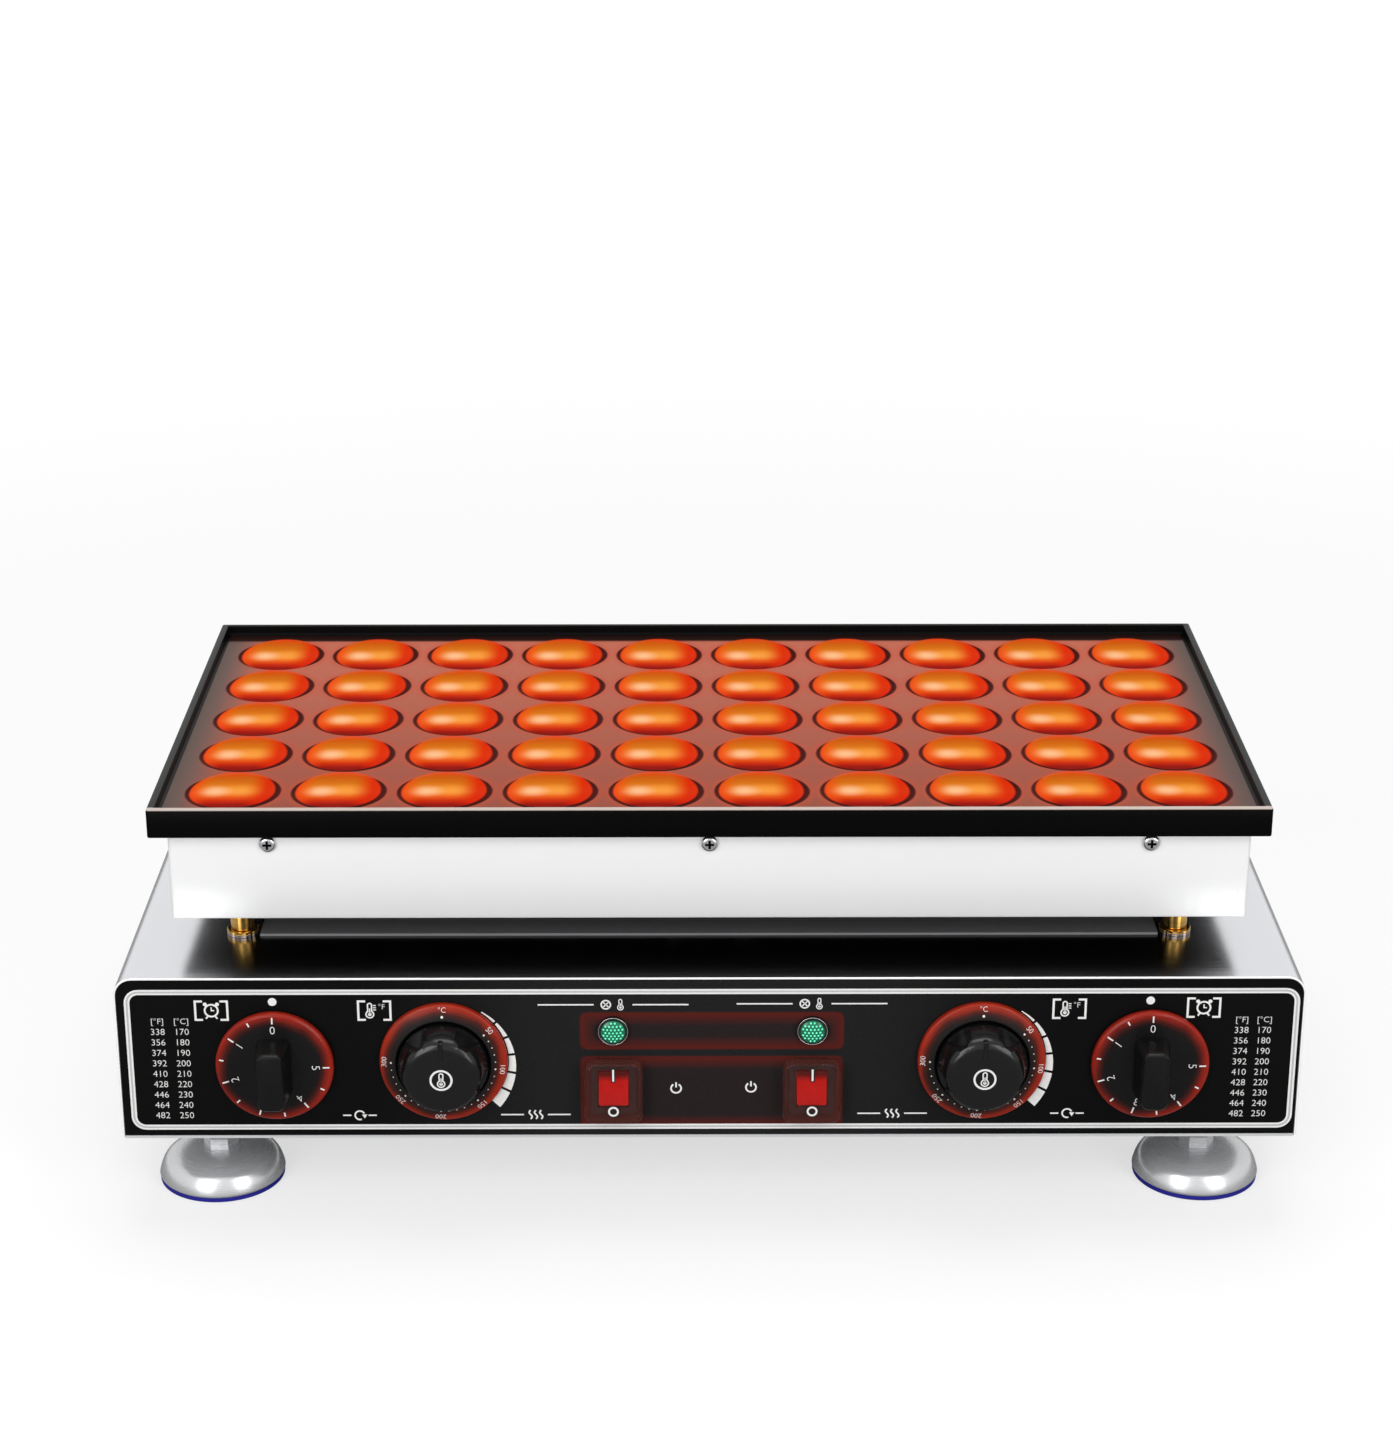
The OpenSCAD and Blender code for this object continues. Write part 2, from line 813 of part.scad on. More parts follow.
// Bolts that come up through the base, the posts and the box floor
module post_bolts() {
    color("silver")
        for (p = post_spots)
            translate([p[0], p[1], 0]) {
                translate([0, 0, top_z - sheet_t - bolt_head_t])
                    cylinder(h = bolt_head_t, d = hex_ratio * post_bolt_d, $fn = 6);
                translate([0, 0, top_z - sheet_t])
                    cylinder(h = box_z + 2 * sheet_t + nut_t - top_z + sheet_t, d = post_bolt_d);
            }
}

module post_nuts() {
    color("silver")
        for (p = post_spots)
            translate([p[0], p[1], box_z + sheet_t])
                difference() {
                    cylinder(h = nut_t, d = hex_ratio * post_bolt_d, $fn = 6);
                    translate([0, 0, -past])
                        cylinder(h = nut_t + 2 * past, d = post_bolt_d + 2 * running);
                }
}

// Pan-head screws through the box walls into the plate
module box_screws() {
    color("silver")
        at_box_screws()
            pan_screw(m4_d, m4_head_d, m4_head_t, box_screw_l);
}

// Clockwork timer body behind the panel
module timer_body_at(s) {
    color("ivory")
        on_panel(control_shift + s * timer_x, timer_z)
            translate([0, 0, -panel_back])
                difference() {
                    union() {
                        translate([-timer_body / 2, -timer_body / 2, -timer_body_depth])
                            cube([timer_body, timer_body, timer_body_depth - timer_boss]);
                        translate([0, 0, -timer_boss])
                            cylinder(h = timer_boss, d = timer_body);
                    }
                    translate([0, 0, -bush_depth])
                        cylinder(h = bush_depth + past, d = shaft_d + 2 * running);
                    for (t = [-1, 1])
                        translate([t * control_screw_x, 0, -bush_depth])
                            cylinder(h = bush_depth + past, d = m4_d + 2 * bolt_clear);
                }
}

module timer_body_left() {
    timer_body_at(-1);
}

module timer_body_right() {
    timer_body_at(1);
}

// Capillary thermostat body behind the panel
module thermostat_body_at(s) {
    color("ivory")
        on_panel(control_shift + s * thermostat_x, thermostat_z)
            translate([0, 0, -panel_back])
                difference() {
                    union() {
                        translate([-thermostat_body_w / 2, -thermostat_body_h / 2, -thermostat_body_depth])
                            cube([thermostat_body_w, thermostat_body_h,
                                thermostat_body_depth - thermostat_boss]);
                        translate([0, 0, -thermostat_boss])
                            cylinder(h = thermostat_boss, d = thermostat_body_h);
                    }
                    translate([0, 0, -bush_depth])
                        cylinder(h = bush_depth + past, d = shaft_d + 2 * running);
                    for (t = [-1, 1])
                        translate([t * control_screw_x, 0, -bush_depth])
                            cylinder(h = bush_depth + past, d = m4_d + 2 * bolt_clear);
                }
}

module thermostat_body_left() {
    thermostat_body_at(-1);
}

module thermostat_body_right() {
    thermostat_body_at(1);
}

// Fixed ring with the printed temperature scale
module thermostat_ring_at(s) {
    inner_r = dial_r + ring_gap;
    color("black")
        on_panel(control_shift + s * thermostat_x, thermostat_z)
            translate([0, 0, -fascia_recess])
                rotate_extrude()
                    polygon([[inner_r, 0], [ring_r, 0], [ring_r, ring_edge_h],
                        [ring_r - ring_bevel[0], ring_edge_h + ring_bevel[1]],
                        [inner_r + ring_land, ring_t], [inner_r, ring_t]]);
}

module thermostat_ring_left() {
    thermostat_ring_at(-1);
}

module thermostat_ring_right() {
    thermostat_ring_at(1);
}

// Sensing bulb under the plate with its capillary tube to the thermostat
module capillary_at(s) {
    thermostat_top = foot_h + thermostat_z + thermostat_body_h / 2;
    tube_y = front_y + panel_back + thermostat_body_depth / 2;
    tube_x = control_shift + s * thermostat_x;
    color("peru") {
        bar([s * bulb_x, plate_mid_y, bulb_z], [s * (bulb_x + bulb_l), plate_mid_y, bulb_z], bulb_d / 2);
        wire_path([[s * (bulb_x + past), plate_mid_y, bulb_z], [s * capillary_x, plate_mid_y, bulb_z],
            [s * capillary_x, plate_mid_y, capillary_z], [s * capillary_x, tube_y, capillary_z],
            [tube_x, tube_y, capillary_z], [tube_x, tube_y, thermostat_top]], capillary_d / 2);
    }
}

module capillary_left() {
    capillary_at(-1);
}

module capillary_right() {
    capillary_at(1);
}

// Rocker switch body with its well and the two bearing holes of the rocker
module switch_body_at(s) {
    bezel_w = switch_w + 2 * bezel_margin;
    bezel_l = switch_l + 2 * bezel_margin;
    color("black")
        on_panel(control_shift + s * switch_x, switch_z)
            difference() {
                union() {
                    translate([0, 0, -fascia_recess])
                        linear_extrude(bezel_t)
                            round_rect(bezel_w, bezel_l, bezel_corner);
                    translate([-switch_w / 2, -switch_l / 2, -switch_depth])
                        cube([switch_w, switch_l, switch_depth]);
                }
                translate([-well_w / 2, -well_l / 2, -switch_depth / 2])
                    cube([well_w, well_l, switch_depth]);
                translate([0, 0, -rocker_pivot_in])
                    rotate([0, 90, 0])
                        cylinder(h = well_w + 2 * (pivot_l + pivot_end_gap), d = pivot_d + 2 * running,
                            center = true);
            }
}

module switch_body_left() {
    switch_body_at(-1);
}

module switch_body_right() {
    switch_body_at(1);
}

// Clear moulded boot over a switch
module switch_boot_at(s) {
    inner_w = boot_w - 2 * boot_wall;
    inner_h = boot_h - 2 * boot_wall;
    color([0.9, 0.9, 0.9, 0.4])
        on_panel(control_shift + s * switch_x, switch_z)
            translate([0, 0, -fascia_recess])
                difference() {
                    linear_extrude(boot_out)
                        round_rect(boot_w, boot_h, boot_corner);
                    translate([0, 0, -past])
                        linear_extrude(boot_out - boot_wall + past)
                            round_rect(inner_w, inner_h, boot_corner - boot_wall);
                }
}

module switch_boot_left() {
    switch_boot_at(-1);
}

module switch_boot_right() {
    switch_boot_at(1);
}

// Red rocker on its two pivot stubs, shown with its upper end pressed
module rocker_at(s) {
    half = rocker_l / 2;
    keel = rocker_keel_l / 2;
    dish_x = rocker_dish[0];
    dish_z = rocker_waist + rocker_dish[1];
    color("red")
        on_panel(control_shift + s * switch_x, switch_z)
            translate([0, 0, -rocker_pivot_in])
                rotate([-rocker_tilt, 0, 0])
                    union() {
                        rotate([90, 0, 90])
                            linear_extrude(rocker_w, center = true)
                                polygon([[-half, rocker_crown], [-dish_x, dish_z], [0, rocker_waist],
                                    [dish_x, dish_z], [half, rocker_crown], [half, rocker_side],
                                    [keel, -rocker_keel], [-keel, -rocker_keel], [-half, rocker_side]]);
                        rotate([0, 90, 0])
                            cylinder(h = well_w + 2 * pivot_l, d = pivot_d, center = true);
                    }
}

module rocker_left() {
    rocker_at(-1);
}

module rocker_right() {
    rocker_at(1);
}

// Indicator lamp barrel and bezel
module lamp_body_at(s) {
    color("black")
        on_panel(control_shift + s * switch_x, lamp_z)
            difference() {
                union() {
                    translate([0, 0, -fascia_recess])
                        cylinder(h = lamp_bezel_t, d = lamp_d);
                    translate([0, 0, -lamp_depth])
                        cylinder(h = lamp_depth, d = lamp_barrel_d);
                }
                translate([0, 0, -lamp_depth / 2])
                    cylinder(h = lamp_depth, d = lens_d - 2 * lens_ledge);
                translate([0, 0, lens_z])
                    cylinder(h = lamp_bezel_t, d = lens_d);
            }
}

module lamp_body_left() {
    lamp_body_at(-1);
}

module lamp_body_right() {
    lamp_body_at(1);
}

// Green lens in the lamp bezel
module lamp_lens_at(s) {
    lens_r = (lens_d * lens_d / 4 + lens_rise * lens_rise) / (2 * lens_rise);
    color("mediumseagreen")
        on_panel(control_shift + s * switch_x, lamp_z)
            translate([0, 0, lens_z])
                intersection() {
                    cylinder(h = lens_rise + lens_seat, d = lens_d - 2 * running);
                    translate([0, 0, lens_rise + lens_seat - lens_r])
                        sphere(lens_r);
                }
}

module lamp_lens_left() {
    lamp_lens_at(-1);
}

module lamp_lens_right() {
    lamp_lens_at(1);
}

// Screws that fix the timers and the thermostats to the panel, hidden under the knobs
module control_screws() {
    color("silver")
        for (s = [-1, 1], p = [[timer_x, timer_z], [thermostat_x, thermostat_z]], t = [-1, 1])
            on_panel(control_shift + s * p[0], p[1])
                translate([t * control_screw_x, 0, -fascia_recess])
                    pan_screw(m4_d, control_head_d, control_screw_head, control_screw_l);
}

// Terminal block on the bottom plate
module terminal_block() {
    color("white")
        translate([-terminal_l / 2, terminal_y - terminal_d / 2, foot_h + bottom_t])
            difference() {
                cube([terminal_l, terminal_d, terminal_h]);
                for (i = [0 : terminal_ways - 1], side = [0, 1])
                    translate([(i + 0.5) * terminal_l / terminal_ways, side * terminal_d, terminal_hole_z])
                        rotate([90, 0, 0])
                            cylinder(h = 2 * terminal_hole_l, d = terminal_hole_d, center = true, $fn = 24);
            }
}

// Wires between the terminal block, the switches, timers, thermostats, lamps and elements
module wiring() {
    timer_back = front_y + panel_back + timer_body_depth;
    thermostat_back = front_y + panel_back + thermostat_body_depth;
    switch_back = front_y + switch_depth;
    lamp_back = front_y + lamp_depth;
    lane_y = timer_back + wire_room;
    supply_z = terminal_top + wire_lane;
    switch_tap_z = foot_h + switch_z - tap;
    timer_tap_z = foot_h + timer_z + 2 * wire_lane;
    lamp_tap_z = foot_h + lamp_z;
    element_lane_z = terminal_top + 2 * tap;
    near_y = element_y(0);
    far_y = element_y(element_runs - 1);
    color("firebrick")
        for (s = [-1, 1]) {
            sw = control_shift + s * switch_x;
            tx = control_shift + s * timer_x;
            th = control_shift + s * thermostat_x;
            supply_x = s * (leg_x + 2 * wire_lane);
            timer_tap_x = th + s * tap;
            lamp_tap_x = th - s * tap;
            leg = s * leg_x;
            wire_path([[supply_x, terminal_y, terminal_top], [supply_x, terminal_y, supply_z],
                [sw, terminal_y, supply_z], [sw, switch_back, supply_z]], wire_r);
            wire_path([[sw, switch_back, switch_tap_z], [sw, lane_y, switch_tap_z],
                [tx, lane_y, switch_tap_z], [tx, timer_back, switch_tap_z]], wire_r);
            wire_path([[tx, timer_back, timer_tap_z], [tx, lane_y - wire_lane, timer_tap_z],
                [timer_tap_x, lane_y - wire_lane, timer_tap_z],
                [timer_tap_x, thermostat_back, timer_tap_z]], wire_r);
            wire_path([[th, thermostat_back, element_lane_z], [th, near_y, element_lane_z],
                [leg, near_y, element_lane_z], [leg, near_y, leg_bottom_z]], wire_r);
            wire_path([[leg, far_y, leg_bottom_z], [leg, far_y, element_lane_z],
                [leg, terminal_y, element_lane_z], [leg, terminal_y, terminal_top]], wire_r);
            wire_path([[sw, lamp_back, lamp_tap_z], [sw, lane_y - 2 * wire_lane, lamp_tap_z],
                [lamp_tap_x, lane_y - 2 * wire_lane, lamp_tap_z],
                [lamp_tap_x, thermostat_back, lamp_tap_z]], wire_r);
        }
}

// Cable gland body through the rear panel
module cable_gland() {
    end = gland_out + fascia_recess;
    color("black")
        translate([gland_x, back_y - fascia_recess, foot_h + gland_z])
            rotate([-90, 0, 0])
                difference() {
                    union() {
                        cylinder(h = gland_hex_l, d = gland_hex_d, $fn = 6);
                        rotate_extrude()
                            polygon([[0, gland_hex_l - past], [gland_dome_r, gland_hex_l - past],
                                [gland_dome_r, end - gland_dome_l], [gland_mouth_r, end], [0, end]]);
                        translate([0, 0, -gland_inner_l])
                            cylinder(h = gland_inner_l + past, d = gland_d);
                    }
                    translate([0, 0, -gland_inner_l - past])
                        cylinder(h = gland_inner_l + end + 2 * past, d = gland_bore);
                }
}

// Lock nut of the gland inside the rear panel
module gland_nut() {
    color("black")
        translate([gland_x, back_y - rear_in, foot_h + gland_z])
            rotate([90, 0, 0])
                difference() {
                    cylinder(h = nut_t, d = gland_nut_d, $fn = 6);
                    translate([0, 0, -past])
                        cylinder(h = nut_t + 2 * past, d = gland_d + 2 * running);
                }
}

// Screws that hold the bottom plate
module bottom_screws() {
    color("silver")
        for (p = bottom_screw_spots)
            translate([p[0], p[1], foot_h])
                rotate([180, 0, 0])
                    pan_screw(m4_d, m4_head_d, m4_head_t, cover_screw_l);
}

// Rear panel screws, and the longer earth screw
module rear_screws() {
    color("silver") {
        for (p = rear_screw_spots)
            translate([p[0], back_y - fascia_recess, foot_h + p[1]])
                rotate([-90, 0, 0])
                    pan_screw(m4_d, m4_head_d, m4_head_t, cover_screw_l);
        translate([earth_x, back_y - fascia_recess, foot_h + gland_z])
            rotate([-90, 0, 0])
                pan_screw(m4_d, m4_head_d, m4_head_t, earth_screw_l);
    }
}

// Threaded inserts welded on the bottom plate for the foot studs
module foot_inserts() {
    color("silver")
        for (p = foot_spots)
            translate([p[0], p[1], foot_h + bottom_t])
                difference() {
                    cylinder(h = insert_h, d = insert_d);
                    translate([0, 0, -past])
                        cylinder(h = insert_h + 2 * past, d = stud_d + 2 * running);
                }
}

// Timer knob: printed skirt, neck and straight grip
module timer_knob_at(s) {
    color("black")
        on_panel(control_shift + s * timer_x, timer_z)
            difference() {
                union() {
                    rotate_extrude()
                        polygon([[0, skirt_gap], [skirt_r, skirt_gap], [skirt_r, skirt_t - skirt_edge],
                            [skirt_r - skirt_edge, skirt_t],
                            [grip_neck_r + neck_flare, skirt_t + skirt_crown],
                            [grip_neck_r, skirt_t + neck_h], [0, skirt_t + neck_h]]);
                    translate([0, 0, skirt_t])
                        linear_extrude(knob_out - skirt_t)
                            round_rect(grip_w, grip_l, grip_corner);
                }
                translate([0, 0, -past])
                    cylinder(h = past + hub_recess, r = hub_recess_r);
                translate([0, 0, -past])
                    cylinder(h = knob_out - knob_cap + past, d = shaft_d + 2 * running);
            }
}

module timer_knob_left() {
    timer_knob_at(-1);
}

module timer_knob_right() {
    timer_knob_at(1);
}

// Shaft of a control, from its bush out into the knob
module shaft_at(x, z, out) {
    color("silver")
        on_panel(x, z)
            translate([0, 0, -panel_back - bush_depth + move_gap])
                cylinder(h = panel_back + bush_depth - move_gap + out, d = shaft_d);
}

module timer_shaft_left() {
    shaft_at(control_shift - timer_x, timer_z, knob_out - knob_cap - move_gap);
}

module timer_shaft_right() {
    shaft_at(control_shift + timer_x, timer_z, knob_out - knob_cap - move_gap);
}

// Thermostat knob with scalloped sides and a pointer ridge at the top
module thermostat_knob_at(s) {
    color("black")
        on_panel(control_shift + s * thermostat_x, thermostat_z)
            difference() {
                union() {
                    difference() {
                        rotate_extrude()
                            polygon([[0, skirt_gap], [dial_r, skirt_gap], [dial_r, dial_side_h],
                                [dial_r - dial_taper, dial_out - dial_round],
                                [dial_r - dial_taper - dial_round, dial_out], [0, dial_out]]);
                        for (i = [0 : scallop_count - 1])
                            rotate(90 + (i + 0.5) * 360 / scallop_count)
                                translate([dial_r + scallop_r - scallop_bite, 0, scallop_start])
                                    cylinder(h = dial_out, r = scallop_r);
                    }
                    translate([-pointer_w / 2, dial_r - pointer_l - pointer_in, dial_out - dial_round])
                        cube([pointer_w, pointer_l, dial_round + pointer_t]);
                }
                translate([0, 0, -past])
                    cylinder(h = past + hub_recess, r = dial_r - dial_wall);
                translate([0, 0, -past])
                    cylinder(h = dial_out - knob_cap + past, d = shaft_d + 2 * running);
            }
}

module thermostat_knob_left() {
    thermostat_knob_at(-1);
}

module thermostat_knob_right() {
    thermostat_knob_at(1);
}

module thermostat_shaft_left() {
    shaft_at(control_shift - thermostat_x, thermostat_z, dial_out - knob_cap - move_gap);
}

module thermostat_shaft_right() {
    shaft_at(control_shift + thermostat_x, thermostat_z, dial_out - knob_cap - move_gap);
}

// Bell foot with its hexagon and threaded stud
module foot_at(p) {
    outline = [for (t = [0 : bell_step : 90])
        [bell_r * pow(cos(t), 2 / bell_power), pad_t + (bell_h - pad_t) * pow(sin(t), 2 / bell_power)]];
    color("silver")
        translate([p[0], p[1], 0]) {
            rotate_extrude()
                polygon(concat([[0, pad_t + recess_h], [bell_r - bell_lip, pad_t + recess_h],
                    [bell_r - bell_lip, pad_t]], outline));
            translate([0, 0, bell_h - past])
                cylinder(h = hex_t + past, d = hex_af / cos(30), $fn = 6);
            translate([0, 0, bell_h])
                cylinder(h = foot_h + bottom_t + insert_h + stud_over - bell_h, d = stud_d);
        }
}

module foot_front_left() {
    foot_at(foot_spots[0]);
}

module foot_front_right() {
    foot_at(foot_spots[1]);
}

module foot_rear_left() {
    foot_at(foot_spots[2]);
}

module foot_rear_right() {
    foot_at(foot_spots[3]);
}

// Rubber pad pressed into the bottom of a bell
module foot_pad_at(p) {
    edge_r = bell_r - pad_in;
    plug_r = bell_r - bell_lip - pad_fit;
    color("midnightblue")
        translate([p[0], p[1], 0])
            rotate_extrude()
                polygon([[0, 0], [edge_r - pad_edge / 2, 0], [edge_r, pad_edge], [edge_r, pad_t],
                    [plug_r, pad_t], [plug_r, pad_t + recess_h], [0, pad_t + recess_h]]);
}

module foot_pad_front_left() {
    foot_pad_at(foot_spots[0]);
}

module foot_pad_front_right() {
    foot_pad_at(foot_spots[1]);
}

module foot_pad_rear_left() {
    foot_pad_at(foot_spots[2]);
}

module foot_pad_rear_right() {
    foot_pad_at(foot_spots[3]);
}

base_casing();
front_panel();
fascia();
rear_panel();
bottom_plate();
heat_shield();
heater_box();
baking_plate();
heater_element_left();
heater_element_right();
element_clamps();
clamp_screws();
insulation_board();
brass_posts();
post_washers();
post_bolts();
post_nuts();
box_screws();
timer_body_left();
timer_body_right();
thermostat_body_left();
thermostat_body_right();
thermostat_ring_left();
thermostat_ring_right();
capillary_left();
capillary_right();
switch_body_left();
switch_body_right();
switch_boot_left();
switch_boot_right();
lamp_body_left();
lamp_body_right();
lamp_lens_left();
lamp_lens_right();
control_screws();
terminal_block();
wiring();
cable_gland();
gland_nut();
bottom_screws();
rear_screws();
foot_inserts();
timer_knob_left();
timer_knob_right();
timer_shaft_left();
timer_shaft_right();
thermostat_knob_left();
thermostat_knob_right();
thermostat_shaft_left();
thermostat_shaft_right();
rocker_left();
rocker_right();
foot_front_left();
foot_front_right();
foot_rear_left();
foot_rear_right();
foot_pad_front_left();
foot_pad_front_right();
foot_pad_rear_left();
foot_pad_rear_right();
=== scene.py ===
# Electric mini-pancake baker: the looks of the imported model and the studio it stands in.
from math import atan2, cos, hypot, pi, radians, sin, sqrt, tan

import bmesh
import bpy
from mathutils import Matrix, Vector


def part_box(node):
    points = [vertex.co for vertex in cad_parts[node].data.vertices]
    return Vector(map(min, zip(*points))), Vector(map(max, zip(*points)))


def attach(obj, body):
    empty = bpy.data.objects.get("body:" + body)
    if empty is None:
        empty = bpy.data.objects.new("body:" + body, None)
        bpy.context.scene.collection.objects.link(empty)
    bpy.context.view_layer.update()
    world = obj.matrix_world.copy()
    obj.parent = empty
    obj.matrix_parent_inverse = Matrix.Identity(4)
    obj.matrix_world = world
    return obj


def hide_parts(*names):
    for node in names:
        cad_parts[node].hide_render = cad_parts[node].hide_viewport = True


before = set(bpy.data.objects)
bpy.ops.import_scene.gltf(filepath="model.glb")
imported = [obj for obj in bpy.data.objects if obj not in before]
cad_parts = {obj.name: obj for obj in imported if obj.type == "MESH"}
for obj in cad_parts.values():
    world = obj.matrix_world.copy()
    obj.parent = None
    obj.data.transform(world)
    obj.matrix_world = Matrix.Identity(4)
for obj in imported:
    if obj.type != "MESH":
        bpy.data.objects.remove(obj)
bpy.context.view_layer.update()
scene = bpy.context.scene
scene.view_settings.view_transform = "Standard"

# The studio: a pale paper floor that fades to white, a white surround, two tall softboxes and one overhead.
# The camera stands in front of the controls, above them and a hair left of the middle.
FLOOR_REACH = 6.0
FLOOR_STEPS = 96
FLOOR_DROP = 0.0001
FLOOR_SHARE = 0.38
SHADOW_REACH = (0.45, 1.3)
SURROUND_FILL = 0.5
CAMERA_BEFORE_CASING = 1.173532
CAMERA_X = -0.010185
CAMERA_Z = 0.667576
CAMERA_PITCH = 20.808
CAMERA_YAW = 0.228
CAMERA_LENS = 78.72
FILM_HEIGHT = 36
LAMP_AIM = Vector((0, 0, 0.1))
LAMPS = (
    ("left_softbox", (-0.8, -1.45, 0.75), (0.7, 1.3), 13.0),
    ("right_softbox", (1.0, -1.35, 0.75), (0.7, 1.3), 11.0),
    ("top_softbox", (0.0, 0.35, 1.9), (1.4, 1.0), 12.0),
)
SMOOTH = {"interpolation_type": "SMOOTHSTEP"}


def tint(code):
    """Linear colour of an sRGB hex value."""
    parts = [int(code[i : i + 2], 16) / 255 for i in (1, 3, 5)]
    return [p / 12.92 if p <= 0.04045 else ((p + 0.055) / 1.055) ** 2.4 for p in parts] + [1]


def fill(node, inputs):
    """Links or sets a node's inputs, given by name or, as a list, in the order of those in use."""
    if not isinstance(inputs, dict):
        in_use = [i for i, socket in enumerate(node.inputs) if socket.enabled]
        inputs = dict(zip(in_use, inputs))
    for name, value in inputs.items():
        if isinstance(value, bpy.types.NodeSocket):
            node.id_data.links.new(value, node.inputs[name])
        else:
            node.inputs[name].default_value = value


def add(tree, kind, inputs=(), **settings):
    """Adds a node with its settings and inputs, and gives its first output in use."""
    node = tree.nodes.new(kind if "Node" in kind else "ShaderNode" + kind)
    for name, value in settings.items():
        setattr(node, name, value)
    fill(node, inputs)
    return next((socket for socket in node.outputs if socket.enabled), None)


def seen(tree, *rays):
    """One for these rays, which look straight at the studio, and zero for its light on the baker."""
    path = add(tree, "LightPath").node.outputs
    level = path[rays[0]]
    for ray in rays[1:]:
        level = add(tree, "Math", [level, path[ray]], operation="MAXIMUM")
    return level


def put(name, data):
    """Sets an object for a mesh, a light, a camera or a line of text into the scene."""
    made = bpy.data.objects.new(name, data)
    scene.collection.objects.link(made)
    return made


surround = bpy.data.worlds.new("white_surround")
scene.world = surround
surround.use_nodes = True
tree = surround.node_tree
looked_at = seen(tree, "Is Camera Ray", "Is Glossy Ray", "Is Transmission Ray")
level = add(tree, "MapRange", [looked_at, 0, 1, SURROUND_FILL, 1])
fill(tree.nodes["Background"], {"Color": tint("#ffffff"), "Strength": level})

paper = bpy.data.materials.new("white_paper")
paper.use_nodes = True
tree = paper.node_tree
tree.nodes.clear()
spot = add(tree, "TexCoord").node.outputs["Object"]
away = add(tree, "VectorMath", [spot], operation="LENGTH")
fade = add(tree, "MapRange", [away, *SHADOW_REACH], **SMOOTH)
looked_at = seen(tree, "Is Camera Ray", "Is Transmission Ray")
matt = add(tree, "BsdfDiffuse", {"Color": [FLOOR_SHARE] * 3 + [1]})
lift = add(tree, "MapRange", [looked_at, 0, 1, 0, 1 - FLOOR_SHARE])
lifted = add(tree, "Emission", {"Strength": lift})
near = add(tree, "AddShader", [matt, lifted])
far = add(tree, "Math", [fade, looked_at], operation="MULTIPLY")
white = add(tree, "Emission", {"Strength": 1})
add(tree, "OutputMaterial", {"Surface": add(tree, "MixShader", [far, near, white])})

form = bmesh.new()
bmesh.ops.create_circle(form, cap_ends=True, radius=FLOOR_REACH, segments=FLOOR_STEPS)
bmesh.ops.translate(form, verts=form.verts, vec=(0, 0, -FLOOR_DROP))
floor = put("studio_floor", bpy.data.meshes.new("studio_floor"))
form.to_mesh(floor.data)
form.free()
floor.data.materials.append(paper)

for name, place, size, watts in LAMPS:
    lamp = bpy.data.lights.new(name, "AREA")
    lamp.shape = "RECTANGLE"
    lamp.size, lamp.size_y = size
    lamp.energy = watts
    softbox = put(name, lamp)
    softbox.location = place
    softbox.rotation_euler = (LAMP_AIM - Vector(place)).to_track_quat("-Z", "Y").to_euler()

camera = put("camera", bpy.data.cameras.new("camera"))
camera.data.sensor_fit = "VERTICAL"
camera.data.sensor_height = FILM_HEIGHT
camera.data.lens = CAMERA_LENS
camera.location = (CAMERA_X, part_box("base_casing")[0].y - CAMERA_BEFORE_CASING, CAMERA_Z)
camera.rotation_euler = (radians(90 - CAMERA_PITCH), 0, radians(-CAMERA_YAW))
scene.camera = camera

# The levelling feet: polished steel bells, turned on a lathe, with a hexagon for the spanner and a stud.
# Each screws into an insert in the bottom plate, and its stud is inside the base.
MM = 0.001
WELD = 0.002
CREASE = 32
LINE_DEPTH = 0.02
COLOURS = {"data_type": "RGBA"}
FEET = ("front_left", "front_right", "rear_left", "rear_right")
BELL_TOP = 14.5
BELL_ROUND = 3
PAD_T = 1.5
BELL = ((25.8, PAD_T), (27, 2.4), (25.7, 7), (23.6, 10.4), (19.5, 12.6), (14, 13.9), (8, BELL_TOP))
HEX_ACROSS = 13
HEX_R = HEX_ACROSS / sqrt(3)
HEX_TOP = BELL_TOP + 5.5
HEX_BEVEL = 0.6
STUD_R = 4
STUD_BEVEL = 0.8


def extent(node):
    """Lowest and highest corner of a CAD node, in millimetres."""
    low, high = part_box(node)
    return low / MM, high / MM


def middle_of(node):
    """Middle of a CAD node, seen from above."""
    low, high = extent(node)
    return (low.x + high.x) / 2, (low.y + high.y) / 2


def surface(name, sockets):
    """A material with a Principled surface, its node tree and that shader."""
    made = bpy.data.materials.new(name)
    made.use_nodes = True
    shader = made.node_tree.nodes["Principled BSDF"]
    fill(shader, sockets)
    return made, made.node_tree, shader


def lined_metal(name, scale, detail, rough, sockets, shades=(), relief=0):
    """Metal with fine lines from the tool, which blur its reflections, and may shade or roughen it."""
    made, tree, shader = surface(name, sockets)
    spot = add(tree, "TexCoord").node.outputs["Object"]
    drawn = add(tree, "Mapping", {"Vector": spot, "Scale": scale})
    lines = add(tree, "TexNoise", {"Vector": drawn, "Scale": 1, "Detail": detail})
    fill(shader, {"Roughness": add(tree, "MapRange", [lines, *rough])})
    if shades:
        fill(shader, {"Base Color": add(tree, "Mix", [lines, *map(tint, shades)], **COLOURS)})
    if relief:
        raised = {"Height": lines, "Strength": relief, "Distance": LINE_DEPTH * MM}
        fill(shader, {"Normal": add(tree, "Bump", raised)})
    return made


